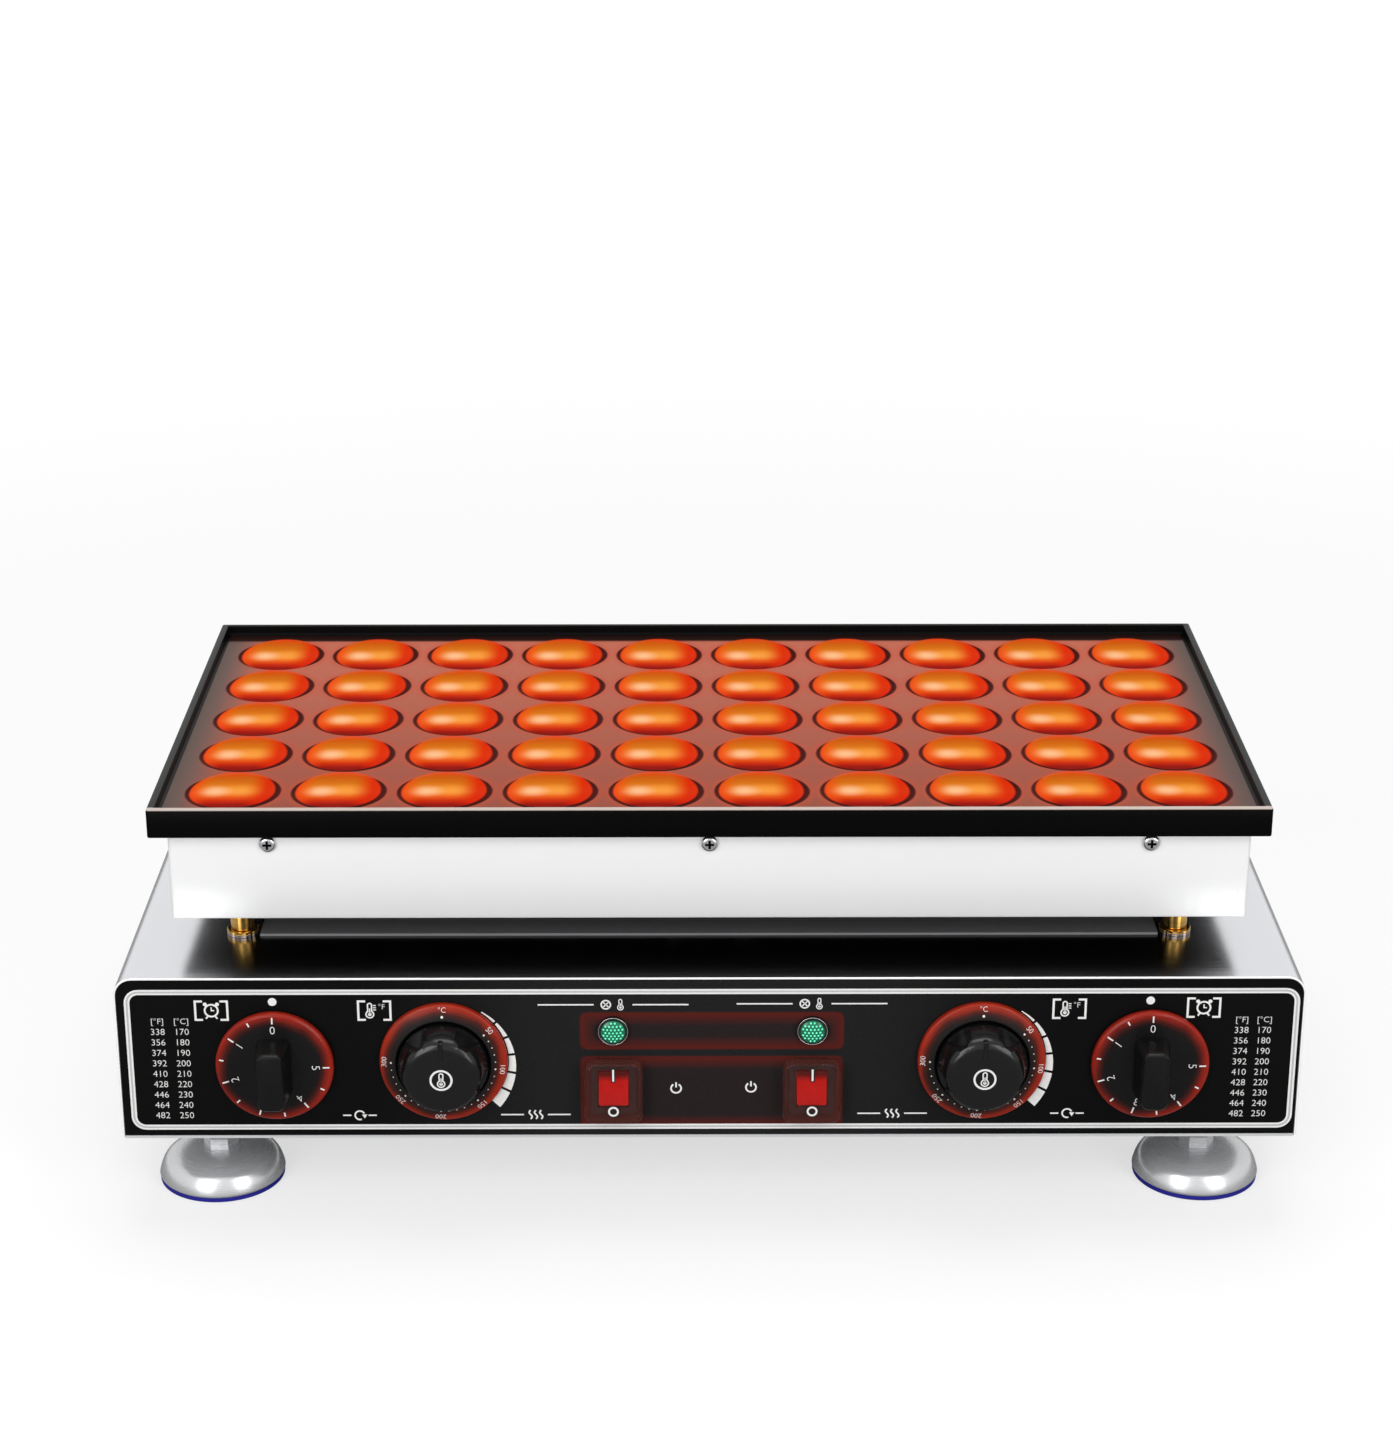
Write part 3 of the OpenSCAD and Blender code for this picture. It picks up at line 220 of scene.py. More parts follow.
def soften(outline, radius, steps=4, closed=False):
    """Rounds the corners of an outline; a bend takes at most half of its shorter side."""
    bent = []
    for i, corner in enumerate(outline):
        here = Vector(corner)
        if not closed and i in (0, len(outline) - 1):
            bent.append(tuple(here))
            continue
        back = Vector(outline[i - 1]) - here
        on = Vector(outline[(i + 1) % len(outline)]) - here
        reach = min(radius, back.length / 2, on.length / 2)
        start = here + back.normalized() * reach
        end = here + on.normalized() * reach
        for k in range(steps + 1):
            t = k / steps
            bent.append(tuple(start * (1 - t) ** 2 + here * 2 * t * (1 - t) + end * t * t))
    return bent


def lathe(form, outline, steps=72):
    """Turns an outline of (radius, height) points round the Z axis; an end on the axis closes in a point."""
    rows = []
    for radius, height in outline:
        count = steps if radius > 1e-6 else 1
        turns = [2 * pi * i / count for i in range(count)]
        rows.append([form.verts.new((radius * cos(a), radius * sin(a), height)) for a in turns])
    for low, high in zip(rows, rows[1:]):
        for i in range(steps):
            corners = [row[k % len(row)] for row, k in ((low, i), (low, i + 1), (high, i + 1), (high, i))]
            corners = list(dict.fromkeys(corners))
            if len(corners) > 2:
                form.faces.new(corners)


def seal(form):
    """Closes a form's seams and turns its faces outwards."""
    bmesh.ops.remove_doubles(form, verts=form.verts, dist=WELD)
    bmesh.ops.recalc_face_normals(form, faces=form.faces)


def smooth(mesh):
    """Brings a mesh from millimetres to metres and shades it smooth between its sharp edges."""
    mesh.transform(Matrix.Scale(MM, 4))
    mesh.shade_smooth()
    mesh.set_sharp_from_angle(angle=radians(CREASE))
    return mesh


def cast(form, *finishes, place=Matrix()):
    """Sets a form in its place and makes a closed mesh of it, in metres."""
    bmesh.ops.transform(form, matrix=place, verts=form.verts)
    seal(form)
    mesh = bpy.data.meshes.new("cast")
    form.to_mesh(mesh)
    form.free()
    for finish in finishes:
        mesh.materials.append(finish)
    return smooth(mesh)


def piece(name, mesh, body, slot, *nodes):
    """Shows a mesh as a piece that moves with a body and stands for its CAD nodes."""
    mesh.name = name
    made = put(name, mesh)
    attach(made, body)
    if nodes:
        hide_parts(*nodes)


# Turned and polished stainless steel: bright, with fine rings round the bell that soften the reflections.
BELL_LINES = (4, 4, 1 / (0.35 * MM))
bell_steel = lined_metal("turned_stainless", BELL_LINES, 2, (0, 1, 0.2, 0.32),
                         {"Base Color": tint("#d0d1d3"), "Metallic": 0.65}, relief=0.12)

for corner in FEET:
    foot = "foot_" + corner
    top = extent(foot)[1].z
    form = bmesh.new()
    lathe(form, [(0, PAD_T)] + soften(BELL, BELL_ROUND) + [(0, BELL_TOP)])
    lathe(form, [(0, BELL_TOP), (HEX_R, BELL_TOP), (HEX_R, HEX_TOP - HEX_BEVEL), (HEX_ACROSS / 2, HEX_TOP),
                 (0, HEX_TOP)], 6)
    lathe(form, [(0, BELL_TOP), (STUD_R, BELL_TOP), (STUD_R, top - STUD_BEVEL), (STUD_R - STUD_BEVEL, top),
                 (0, top)], 32)
    place = Matrix.Translation((*middle_of(foot), 0))
    piece("bell_" + foot, cast(form, bell_steel, place=place), "levelling_" + foot, "foot_steel", foot)

# The foot pads: blue rubber discs moulded with a rounded edge and pressed into the bells from below.
# Their edge shows as a thin line between the bell and the table.
PAD_R = 26.6
PAD_PLUG_R = 24.9
PAD_PLUG_TOP = PAD_T + 3
PAD_EDGE = ((0, 0), (PAD_R, 0), (PAD_R, PAD_T), (PAD_PLUG_R, PAD_T), (PAD_PLUG_R, PAD_PLUG_TOP),
            (0, PAD_PLUG_TOP))
PAD_ROUND = 0.4


def mottled(name, grain, detail, dark, pale, sockets, relief=0, depth=0, glow=0):
    """A finish whose shade wanders between two colours, in patches of a size in millimetres."""
    made, tree, shader = surface(name, sockets)
    spot = add(tree, "TexCoord").node.outputs["Object"]
    patches = add(tree, "TexNoise", {"Vector": spot, "Scale": 1 / (grain * MM), "Detail": detail})
    shade = add(tree, "Mix", [patches, tint(dark), tint(pale)], **COLOURS)
    fill(shader, {"Base Color": shade})
    if relief:
        raised = {"Height": patches, "Strength": relief, "Distance": depth * MM}
        fill(shader, {"Normal": add(tree, "Bump", raised)})
    if glow:
        fill(shader, {"Emission Color": shade, "Emission Strength": glow})
    return made


# Moulded rubber: matt, with the fine grit of its mould.
pad_rubber = mottled("blue_rubber", 0.6, 2, "#101078", "#20209c",
                     {"Roughness": 0.6, "Specular IOR Level": 0.3}, relief=0.2, depth=0.05)
for corner in FEET:
    pad = "foot_pad_" + corner
    form = bmesh.new()
    lathe(form, soften(PAD_EDGE, PAD_ROUND, steps=3))
    place = Matrix.Translation((*middle_of(pad), 0))
    piece("rubber_pad_" + corner, cast(form, pad_rubber, place=place), "levelling_foot_" + corner,
          "blue_rubber", pad)

# The bottom plate, cut and punched from stainless sheet, with the foot inserts welded on it.
# Three screws on each side hold it to the flanges of the casing.
SHEET_GRAIN = 0.4
SHEET_STRETCH = 120
NOISE_SPAN = (0.3, 0.7)


def paint(finish, *nodes):
    """Gives CAD nodes that keep their own shape a finish."""
    for name in nodes:
        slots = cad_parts[name].data.materials
        slots.clear()
        slots.append(finish)


def sheet_steel(name, colour, along, rough, relief, metal=1):
    """Brushed stainless sheet: fine lines along one axis, which blur its reflections across them."""
    fine = 1 / (SHEET_GRAIN * MM)
    scale = [fine / SHEET_STRETCH if axis == along else fine for axis in "XYZ"]
    return lined_metal(name, scale, 3, (*NOISE_SPAN, *rough), {"Base Color": tint(colour), "Metallic": metal},
                       relief=relief)


inner_sheet = sheet_steel("mill_stainless", "#e4e5e7", "X", (0.28, 0.42), 0.15, metal=0.5)
paint(inner_sheet, "bottom_plate", "rear_panel")
# Zinc plating on plain steel: a little blue, with a cloudy bloom.
zinc = mottled("zinc_plate", 3, 4, "#9aa0a8", "#c4c8cc", {"Metallic": 1, "Roughness": 0.34})
paint(zinc, "foot_inserts")

# The base casing: one stainless sheet folded over the top and both sides, polished before it is folded.
# The top mirrors the heater box; its front edge stands a hair proud of the fascia.
BEND_R = 8
SHEET_T = 1
EDGE = 0.2
BEND_STEPS = 10
EDGE_STRIPS = (1, 2, 6, 7)
DARK_REFLECTION_X = (188, 219)
CASING_COLOUR = "#dcdde0"
casing_steel = sheet_steel("polished_stainless", CASING_COLOUR, "X", (0.19, 0.27), 0.04)
# Painted reflection: the top is painted darker between the posts, as the dark reflection of the shaded
# underside of the box above.
tree = casing_steel.node_tree
spot = add(tree, "TexCoord").node.outputs["Object"]
from_middle = add(tree, "Math", [add(tree, "SeparateXYZ", [spot])], operation="ABSOLUTE")
unshaded = add(tree, "MapRange", [from_middle, DARK_REFLECTION_X[0] * MM, DARK_REFLECTION_X[1] * MM], **SMOOTH)
shade = add(tree, "Mix", [unshaded, tint("#3c3c3e"), tint(CASING_COLOUR)], **COLOURS)
fill(tree.nodes["Principled BSDF"], {"Base Color": shade})
# Sheared edges are rougher, and they are painted near white as a highlight line.
edge_highlight = sheet_steel("sheared_edge_highlight", "#ffffff", "X", (0.4, 0.5), 0.05, metal=0.2)


def loft(form, rings, start=True, end=True):
    """Skins a row of rings, each a list of points, closes the ends and returns the faces."""
    rows = [[form.verts.new(point) for point in ring] for ring in rings]
    faces = []
    for low, high in zip(rows, rows[1:]):
        for i in range(len(low)):
            faces.append(form.faces.new((low[i - 1], low[i], high[i], high[i - 1])))
    if start:
        faces.append(form.faces.new(rows[0]))
    if end:
        faces.append(form.faces.new(rows[-1]))
    return faces


def casing_section(inset):
    """Points of the casing's section from the left foot over the top to the right foot."""
    low, high = extent("base_casing")
    half = (high.x - low.x) / 2 - inset
    bend = BEND_R - inset
    top = high.z - inset
    points = [(-half, low.z + max(inset - SHEET_T / 2, EDGE - inset, 0))]
    for side, first in ((-1, pi), (1, pi / 2)):
        for k in range(BEND_STEPS + 1):
            a = first - pi / 2 * k / BEND_STEPS
            points.append((side * (half - bend) + bend * cos(a), top - bend + bend * sin(a)))
    points.append((half, points[0][1]))
    return points


low, high = extent("base_casing")
loops = []
for inset, y in ((0, low.y + EDGE), (0, high.y - EDGE), (EDGE, high.y), (SHEET_T - EDGE, high.y),
                 (SHEET_T, high.y - EDGE), (SHEET_T, low.y + EDGE), (SHEET_T - EDGE, low.y), (EDGE, low.y)):
    loops.append([(x, y, z) for x, z in casing_section(inset)])
form = bmesh.new()
skin = loft(form, list(zip(*loops)))[:-2]
for k, face in enumerate(skin):
    face.material_index = int((k - 1) % len(loops) in EDGE_STRIPS)
piece("folded_casing", cast(form, casing_steel, edge_highlight), "chassis", "brushed_stainless", "base_casing")

# The rear panel carries the black cable gland and its lock nut, moulded in polyamide and screwed through it.
# Its own sheet was finished with the bottom plate, as both are cut from the same stock.
gland_plastic = mottled("black_polyamide", 0.5, 2, "#0c0c0d", "#1b1b1d",
                        {"Roughness": 0.45, "Specular IOR Level": 0.3}, relief=0.15, depth=0.05)
paint(gland_plastic, "cable_gland", "gland_nut")

# The cover screws: bright pan heads with a cross recess, cold formed, three under each side and five
# at the back. One screw is carved and a node tree sets out the copies.
HEAD_R = 3.75
HEAD_T = 2.4
HEAD_ROUND = 0.7
SHANK_R = 2
SHANK_L = 8
HEAD = ((0, -SHANK_L), (SHANK_R, -SHANK_L), (SHANK_R, 0), (HEAD_R, 0), (HEAD_R, HEAD_T * 0.45),
        (HEAD_R * 0.72, HEAD_T * 0.92), (0, HEAD_T))
CROSS = (4.8, 1.05)
CROSS_DEPTH = 1.35
CROSS_TAPER = 0.55
RECESS_TOP = HEAD_T * 0.82
COVER_SHARES = (0.3, 0.5, 0.7)
REAR_SCREW_Z = (16, 51.5)
EARTH_SCREW = (-185, 28)


def plain(holder):
    """Turns an object with its modifiers into a plain mesh, and removes them and the object."""
    made = bpy.data.meshes.new_from_object(holder.evaluated_get(bpy.context.evaluated_depsgraph_get()))
    holder.modifiers.clear()
    bpy.data.objects.remove(holder)
    return made


def carve(form, cutter):
    """Cuts one form out of another and returns what is left as a mesh, both still in millimetres."""
    blocks = []
    for part in (form, cutter):
        seal(part)
        block = put("block", bpy.data.meshes.new("block"))
        part.to_mesh(block.data)
        part.free()
        blocks.append(block)
    cut = blocks[0].modifiers.new("cut", "BOOLEAN")
    cut.object = blocks[1]
    cut.solver = "EXACT"
    left = plain(blocks[0])
    bpy.data.objects.remove(blocks[1])
    return left


def start_tree(name, inputs):
    """A node tree with these inputs and one mesh as its result, and the sockets of its inputs."""
    tree = bpy.data.node_groups.new(name, "GeometryNodeTree")
    for label, kind in inputs.items():
        tree.interface.new_socket(label, in_out="INPUT", socket_type="NodeSocket" + kind)
    tree.interface.new_socket("Copies", in_out="OUTPUT", socket_type="NodeSocketGeometry")
    return tree, add(tree, "NodeGroupInput").node.outputs


def end_tree(tree, finish, copies):
    """Makes the copies of a node tree real, coats them and hands them out."""
    real = add(tree, "GeometryNodeRealizeInstances", {"Geometry": copies})
    coated = add(tree, "GeometryNodeSetMaterial", {"Geometry": real, "Material": finish})
    add(tree, "NodeGroupOutput", {"Copies": coated})


def grow(seed, tree, values):
    """Runs a node tree on a seed mesh, with its named inputs, and returns the result as a plain mesh."""
    holder = put("seed", seed)
    grower = holder.modifiers.new("grower", "NODES")
    grower.node_group = tree
    for socket in tree.interface.items_tree:
        if socket.in_out == "INPUT" and socket.name in values:
            grower[socket.identifier] = values[socket.name]
    return plain(holder)


set_out, given = start_tree("set_out_copies", {"Form": "Geometry", "Places": "Object", "Finish": "Material"})
spots = add(set_out, "GeometryNodeObjectInfo", {"Object": given["Places"]}).node.outputs["Geometry"]
turn = add(set_out, "GeometryNodeInputNamedAttribute", {"Name": "turn"}, data_type="FLOAT_VECTOR")
copies = add(set_out, "GeometryNodeInstanceOnPoints",
             {"Points": spots, "Instance": given["Form"], "Rotation": turn})
end_tree(set_out, given["Finish"], copies)


def repeat(seed, places, finish):
    """Sets out copies of a seed mesh at places in millimetres, each with its turn about X, Y and Z."""
    spots = bpy.data.meshes.new("places")
    spots.from_pydata([[value * MM for value in place] for place, _ in places], [], [])
    turns = spots.attributes.new("turn", "FLOAT_VECTOR", "POINT")
    for value, (_, turn) in zip(turns.data, places):
        value.vector = turn
    marker = put("places", spots)
    mesh = grow(seed, set_out, {"Places": marker, "Finish": finish})
    bpy.data.objects.remove(marker)
    return mesh


# Bright nickel-plated screw steel, free of dirt, with faint marks of the die; the recess is painted near
# black as painted shade.
DIE_MARK = 0.8
screw_steel, tree, shader = surface("nickel_plate", {"Metallic": 1})
spot = add(tree, "TexCoord").node.outputs["Object"]
marks = add(tree, "TexNoise", {"Vector": spot, "Scale": 1 / (DIE_MARK * MM), "Detail": 3})
sunk = add(tree, "Attribute", attribute_name="recess").node.outputs["Fac"]
# Painted shade: the faces of the cross recess are painted near black.
shade = add(tree, "Mix", [sunk, tint("#d4d4d6"), tint("#141416")], **COLOURS)
fill(shader, {"Roughness": add(tree, "MapRange", [marks, 0, 1, 0.12, 0.3]), "Base Color": shade})


def pan_screw():
    """A pan-head screw with its head out along Z from zero, and its recess marked for painted shade."""
    form = bmesh.new()
    lathe(form, soften(HEAD, HEAD_ROUND), 40)
    rings = []
    for z, share in ((HEAD_T - CROSS_DEPTH, CROSS_TAPER), (HEAD_T + 1, 1)):
        reach, half = CROSS[0] / 2 * share, CROSS[1] / 2
        arm = [Vector((half, half, z)), Vector((half, reach, z)), Vector((-half, reach, z))]
        rings.append([Matrix.Rotation(pi / 2 * k, 3, "Z") @ corner for k in range(4) for corner in arm])
    cutter = bmesh.new()
    loft(cutter, rings)
    carved = carve(form, cutter)
    recess = carved.attributes.new("recess", "FLOAT", "FACE")
    for face, mark in zip(carved.polygons, recess.data):
        middle = face.center
        mark.value = float(0 < middle.z < RECESS_TOP and hypot(middle.x, middle.y) < CROSS[0] / 2)
    return smooth(carved)


screw = pan_screw()
low, high = extent("bottom_plate")
flange_x = max(abs(corner.x) for corner in extent("bottom_screws")) - HEAD_R
rows_y = [low.y + share * (high.y - low.y) for share in COVER_SHARES]
places = [((s * flange_x, y, low.z), (pi, 0, 0)) for s in (-1, 1) for y in rows_y]
piece("cover_screws", repeat(screw, places, screw_steel), "chassis", "screw_steel", "bottom_screws")
rear_y = extent("rear_panel")[1].y
places = [((s * flange_x, rear_y, low.z + z), (-pi / 2, 0, 0)) for s in (-1, 1) for z in REAR_SCREW_Z]
places.append(((EARTH_SCREW[0], rear_y, low.z + EARTH_SCREW[1]), (-pi / 2, 0, 0)))
piece("back_screws", repeat(screw, places, screw_steel), "chassis", "screw_steel", "rear_screws")

# The front panel is a steel sheet behind a printed polyester film, satin black, with a painted sheen that
# makes it greyer in the middle.
# Two dark red fields, deeper towards their edges, are printed round the lamps and round the switches.
FILM_GRAIN = 0.45
FIELD_X = (-53.5, 55.2)
FIELDS_Z = ((77.3, 94.1), (41.0, 74.0))
FIELD_FADE = 6
FIELD_DEPTH = (0.05, 0.85)
FIELD_EDGE = 0.5
FIELD_CORNER = 5
SHEEN_X = (55, 150)
paint(inner_sheet, "front_panel")
# Polyester film with a fine grain, which keeps its gloss low.
film, tree, shader = surface("printed_polyester_film", {"Roughness": 0.42, "Specular IOR Level": 0.08})
spot = add(tree, "TexCoord").node.outputs["Object"]
grain = add(tree, "TexNoise", {"Vector": spot, "Scale": 1 / (FILM_GRAIN * MM), "Detail": 2})
axes = add(tree, "SeparateXYZ", [spot]).node.outputs
# Painted sheen: the film is painted greyer towards its middle, as a soft reflection.
from_middle = add(tree, "Math", [axes["X"]], operation="ABSOLUTE")
sheen_share = add(tree, "MapRange", [from_middle, SHEEN_X[1] * MM, SHEEN_X[0] * MM], **SMOOTH)
ends = add(tree, "Mix", [grain, tint("#030304"), tint("#0c0c0d")], **COLOURS)
sheen_middle = add(tree, "Mix", [grain, tint("#121213"), tint("#262627")], **COLOURS)
shade = add(tree, "Mix", [sheen_share, ends, sheen_middle], **COLOURS)
for field in FIELDS_Z:
    outside = []
    for axis, (first, last) in (("X", FIELD_X), ("Z", field)):
        off = add(tree, "Math", [axes[axis], (first + last) / 2 * MM], operation="SUBTRACT")
        off = add(tree, "Math", [off], operation="ABSOLUTE")
        outside.append(add(tree, "Math", [off, (last - first) / 2 * MM], operation="SUBTRACT"))
    edge = add(tree, "Math", [*outside, FIELD_CORNER * MM], operation="SMOOTH_MAX")
    deep = add(tree, "MapRange", [edge, -FIELD_FADE * MM, 0, *FIELD_DEPTH])
    inside = add(tree, "MapRange", [edge, FIELD_EDGE * MM, -FIELD_EDGE * MM])
    amount = add(tree, "Math", [deep, inside], operation="MULTIPLY")
    shade = add(tree, "Mix", [amount, shade, tint("#5e1c14")], **COLOURS)
bump = add(tree, "Bump", {"Height": grain, "Strength": 0.1, "Distance": 0.03 * MM})
fill(shader, {"Base Color": shade, "Normal": bump})
paint(film, "fascia")

# The print on the film: a double frame line, number tables, signs for the controls and temperature wedges.
# It is screen printed in white ink, which lies on the film as a thin raised layer.
INK_T = 0.08
INK_LINE = 0.75
INK_GRAIN = 0.5
INK = {"Roughness": 0.55, "Specular IOR Level": 0.2}
FASCIA_Y = extent("fascia")[0].y
FRAME_X = (-239.6, 241.6)
FRAME_Z = (41.5, 103.6)
FRAME_CORNER = 4.8
FRAME_LINE = 2.3
FRAME_CORE = 0.8
FIGURE_SHARE = 0.73
FIGURE_THIN = -0.012
FIGURE_H = 3.0
UNIT_H = FIGURE_H * 0.9
TABLE_TOP = 90.3
TABLE_STEP = 4.82
TABLE_FIRST = 170
TABLE_ROWS = 9
TABLES = ((-227.6, -217.7), (219.4, 228.7))
BRACKETS = (13.2, 8.4, 3.0)
BRACKET_LINE = 0.9
BOLD_LINE = 0.7
SIGN_LINE = 0.65
RULE_LINE = 0.6
FINE_LINE = 0.5
MARK_LINE = 0.42
CLOCK_R = 2.7
TURN_R = 2
LAMP_SIGN_R = 1.9
POWER_R = 2.1
THERMOSTAT_X = (-110.0, 112.4)
THERMOSTAT_Z = 72.5
INDEX_X = (-179.8, 181.2)
INDEX_Z = 99.2
INDEX_R = 1.78
WEDGE_R = 26.9
WEDGE_T = (0.4, 4.8)
WEDGE_ARC = (36, 136)
WEDGE_COUNT = 6
WEDGE_STEPS = 6
WEDGE_GAP = 2.2


def on_panel(x, z, y):
    """Frame on a face of the front: X to the right, Y up and Z out towards the cook."""
    return Matrix(((1, 0, 0, x), (0, 0, -1, y), (0, 1, 0, z), (0, 0, 0, 1)))


def ring_of(radius, centre=(0, 0), steps=32):
    """Points of a circle."""
    turns = [2 * pi * i / steps for i in range(steps)]
    return [(centre[0] + radius * cos(a), centre[1] + radius * sin(a)) for a in turns]


def blot(form, outline):
    """Adds a flat patch of ink with this outline."""
    form.faces.new([form.verts.new((x, y, 0)) for x, y in outline])


def stroke(form, points, width=INK_LINE, closed=False):
    """Adds a flat line of ink along points, with mitred bends."""
    count = len(points)
    sides = []
    for i, point in enumerate(points):
        here = Vector(point)
        before = Vector(points[i - 1]) if closed or i else here
        after = Vector(points[(i + 1) % count]) if closed or i < count - 1 else here
        legs = [leg.normalized() for leg in (here - before, after - here) if leg.length > 1e-9]
        normals = [Vector((-leg.y, leg.x)) for leg in legs]
        mitre = (normals[0] + normals[-1]).normalized()
        reach = width / 2 / max(mitre.dot(normals[0]), 0.5)
        sides.append([form.verts.new((*(here + mitre * reach * s), 0)) for s in (1, -1)])
    for i in range(count if closed else count - 1):
        there = sides[(i + 1) % count]
        form.faces.new((sides[i][0], sides[i][1], there[1], there[0]))


def figures(form, words, height, place, turn=0):
    """Adds flat figures of the built-in font, centred on a place."""
    line = bpy.data.curves.new("figures", "FONT")
    line.body = words
    line.align_x = "CENTER"
    line.align_y = "CENTER"
    line.size = height / FIGURE_SHARE
    line.offset = FIGURE_THIN * line.size
    line.resolution_u = 3
    flat = plain(put("figures", line))
    flat.transform(Matrix.Translation((*place, 0)) @ Matrix.Rotation(turn, 4, "Z"))
    form.from_mesh(flat)


def press(form, height=lambda radius: 0):
    """Lays flat ink on a face, whose height may follow the distance from its axis, and thickens it."""
    for vertex in form.verts:
        vertex.co.z = height(hypot(vertex.co.x, vertex.co.y))
    bmesh.ops.remove_doubles(form, verts=form.verts, dist=WELD)
    raised = bmesh.ops.extrude_face_region(form, geom=form.faces[:], use_keep_orig=True)["geom"]
    top = [part for part in raised if isinstance(part, bmesh.types.BMVert)]
    bmesh.ops.translate(form, verts=top, vec=(0, 0, INK_T))


def rounded(width, height, corner, z=0, centre=(0, 0), steps=6):
    """Ring of a rectangle with round corners."""
    points = []
    for k, (sx, sy) in enumerate(((1, 1), (-1, 1), (-1, -1), (1, -1))):
        x, y = centre[0] + sx * (width / 2 - corner), centre[1] + sy * (height / 2 - corner)
        for i in range(steps + 1):
            a = pi / 2 * (k + i / steps)
            points.append((x + corner * cos(a), y + corner * sin(a), z))
    return points


def stamp(form, place, sign, *sizes):
    """Draws a sign and moves it from the middle of the face to its place."""
    known = set(form.verts)
    sign(form, *sizes)
    bmesh.ops.translate(form, verts=[v for v in form.verts if v not in known], vec=(*place, 0))


def brackets(form):
    """A pair of square brackets round a sign."""
    width, height, arm = BRACKETS
    for s in (-1, 1):
        stroke(form, [(s * (width / 2 - arm), height / 2), (s * width / 2, height / 2),
                      (s * width / 2, -height / 2), (s * (width / 2 - arm), -height / 2)], BRACKET_LINE)


def flanked(form, gap, reach):
    """Two short rules at the sides of a sign."""
    for s in (-1, 1):
        stroke(form, [(s * gap, 0), (s * reach, 0)], RULE_LINE)


def clock_sign(form):
    """A small alarm clock in brackets."""
    brackets(form)
    stroke(form, ring_of(CLOCK_R), closed=True)
    stroke(form, [(0, 1.5), (0, 0), (1.2, 0)], FINE_LINE)
    for s in (-1, 1):
        blot(form, ring_of(0.85, (s * 2.5, 2.85), 12))
        stroke(form, [(s * 1.55, -2.6), (s * 2.35, -3.65)], BOLD_LINE)


def thermometer(form, size):
    """A thermometer with its bulb and a column, of this height."""
    stem, bulb = size * 0.13, size * 0.24
    bulb_y = bulb - size / 2
    open_turn = pi - atan2(stem, bulb)
    turns = [open_turn * (i / 9 - 1) for i in range(19)]
    shell = [(bulb * sin(a), bulb_y - bulb * cos(a)) for a in turns]
    shell += [(stem * cos(a), size / 2 - stem + stem * sin(a)) for a in [pi * i / 8 for i in range(9)]]
    stroke(form, shell, size * 0.085, closed=True)
    blot(form, ring_of(bulb * 0.5, (0, bulb_y), 14))
    stroke(form, [(0, bulb_y), (0, size * 0.15)], size * 0.07)


def heat_sign(form):
    """A thermometer with its marks and a degree sign in brackets."""
    brackets(form)
    stamp(form, (-1.9, 0), thermometer, 6.6)
    for k in range(3):
        stroke(form, [(-0.5, 2.3 - k), (0.7, 2.3 - k)], MARK_LINE)
    figures(form, "°F", 2.5, (3.0, 1.6))


def turn_sign(form):
    """An arrow that turns clockwise, between two rules."""
    turns = [radians(-200 + 14 * i) for i in range(20)]
    stroke(form, [(TURN_R * sin(a), TURN_R * cos(a)) for a in turns], SIGN_LINE)
    x, y = TURN_R * sin(radians(88)), TURN_R * cos(radians(88))
    blot(form, [(x - 1.1, y + 0.3), (x, y - 1.5), (x + 1.1, y + 0.3)])
    flanked(form, 3.6, 7)


def waves_sign(form):
    """Three rising heat waves between two rules."""
    for k in (-1, 0, 1):
        stroke(form, [(2.2 * k + 0.6 * sin(2 * pi * i / 12), -2 + 4 * i / 12) for i in range(13)], SIGN_LINE)
    flanked(form, 5, 14.5)


def lamp_sign(form):
    """A lamp's crossed circle beside a thermometer, between two rules."""
    stroke(form, ring_of(LAMP_SIGN_R, (-3, 0)), RULE_LINE, closed=True)
    for s in (-1, 1):
        stroke(form, [(-3 - 1.3, -1.3 * s), (-3 + 1.3, 1.3 * s)], FINE_LINE)
    stamp(form, (3, 0), thermometer, 4.8)
    flanked(form, 8, 31)


def power_sign(form):
    """The mains sign: a broken ring with a bar."""
    turns = [radians(32 + 296 * i / 24) for i in range(25)]
    stroke(form, [(POWER_R * sin(a), POWER_R * cos(a) - 0.3) for a in turns], BOLD_LINE)
    stroke(form, [(0, 0.1), (0, 2.5)], BOLD_LINE)


SIGNS = (
    (clock_sign, (-205, 95.3), (203.3, 95.9)),
    (heat_sign, (-138, 95.2), (148, 95.5)),
    (turn_sign, (-145.7, 46.9), (148.9, 47.3)),
    (waves_sign, (-72.4, 47.1), (76, 47.4)),
    (lamp_sign, (-39.8, 97.7), (42, 98)),
    (power_sign, (-14, 59.5), (17.1, 59.9)),
)
ink = bmesh.new()
for first, last in TABLES:
    for x, unit in ((first, "[°F]"), (last, "[°C]")):
        figures(ink, unit, UNIT_H, (x, TABLE_TOP))
    for row in range(TABLE_ROWS):
        heat = TABLE_FIRST + 10 * row
        z = TABLE_TOP - TABLE_STEP * (row + 1)
        figures(ink, str(round(heat * 9 / 5 + 32)), FIGURE_H, (first, z))
        figures(ink, str(heat), FIGURE_H, (last, z))
for sign, *places in SIGNS:
    for place in places:
        stamp(ink, place, sign)
for x in INDEX_X:
    blot(ink, ring_of(INDEX_R, (x, INDEX_Z)))
wedge_turn = WEDGE_ARC[1] - WEDGE_ARC[0]
wedge_step = wedge_turn / WEDGE_COUNT
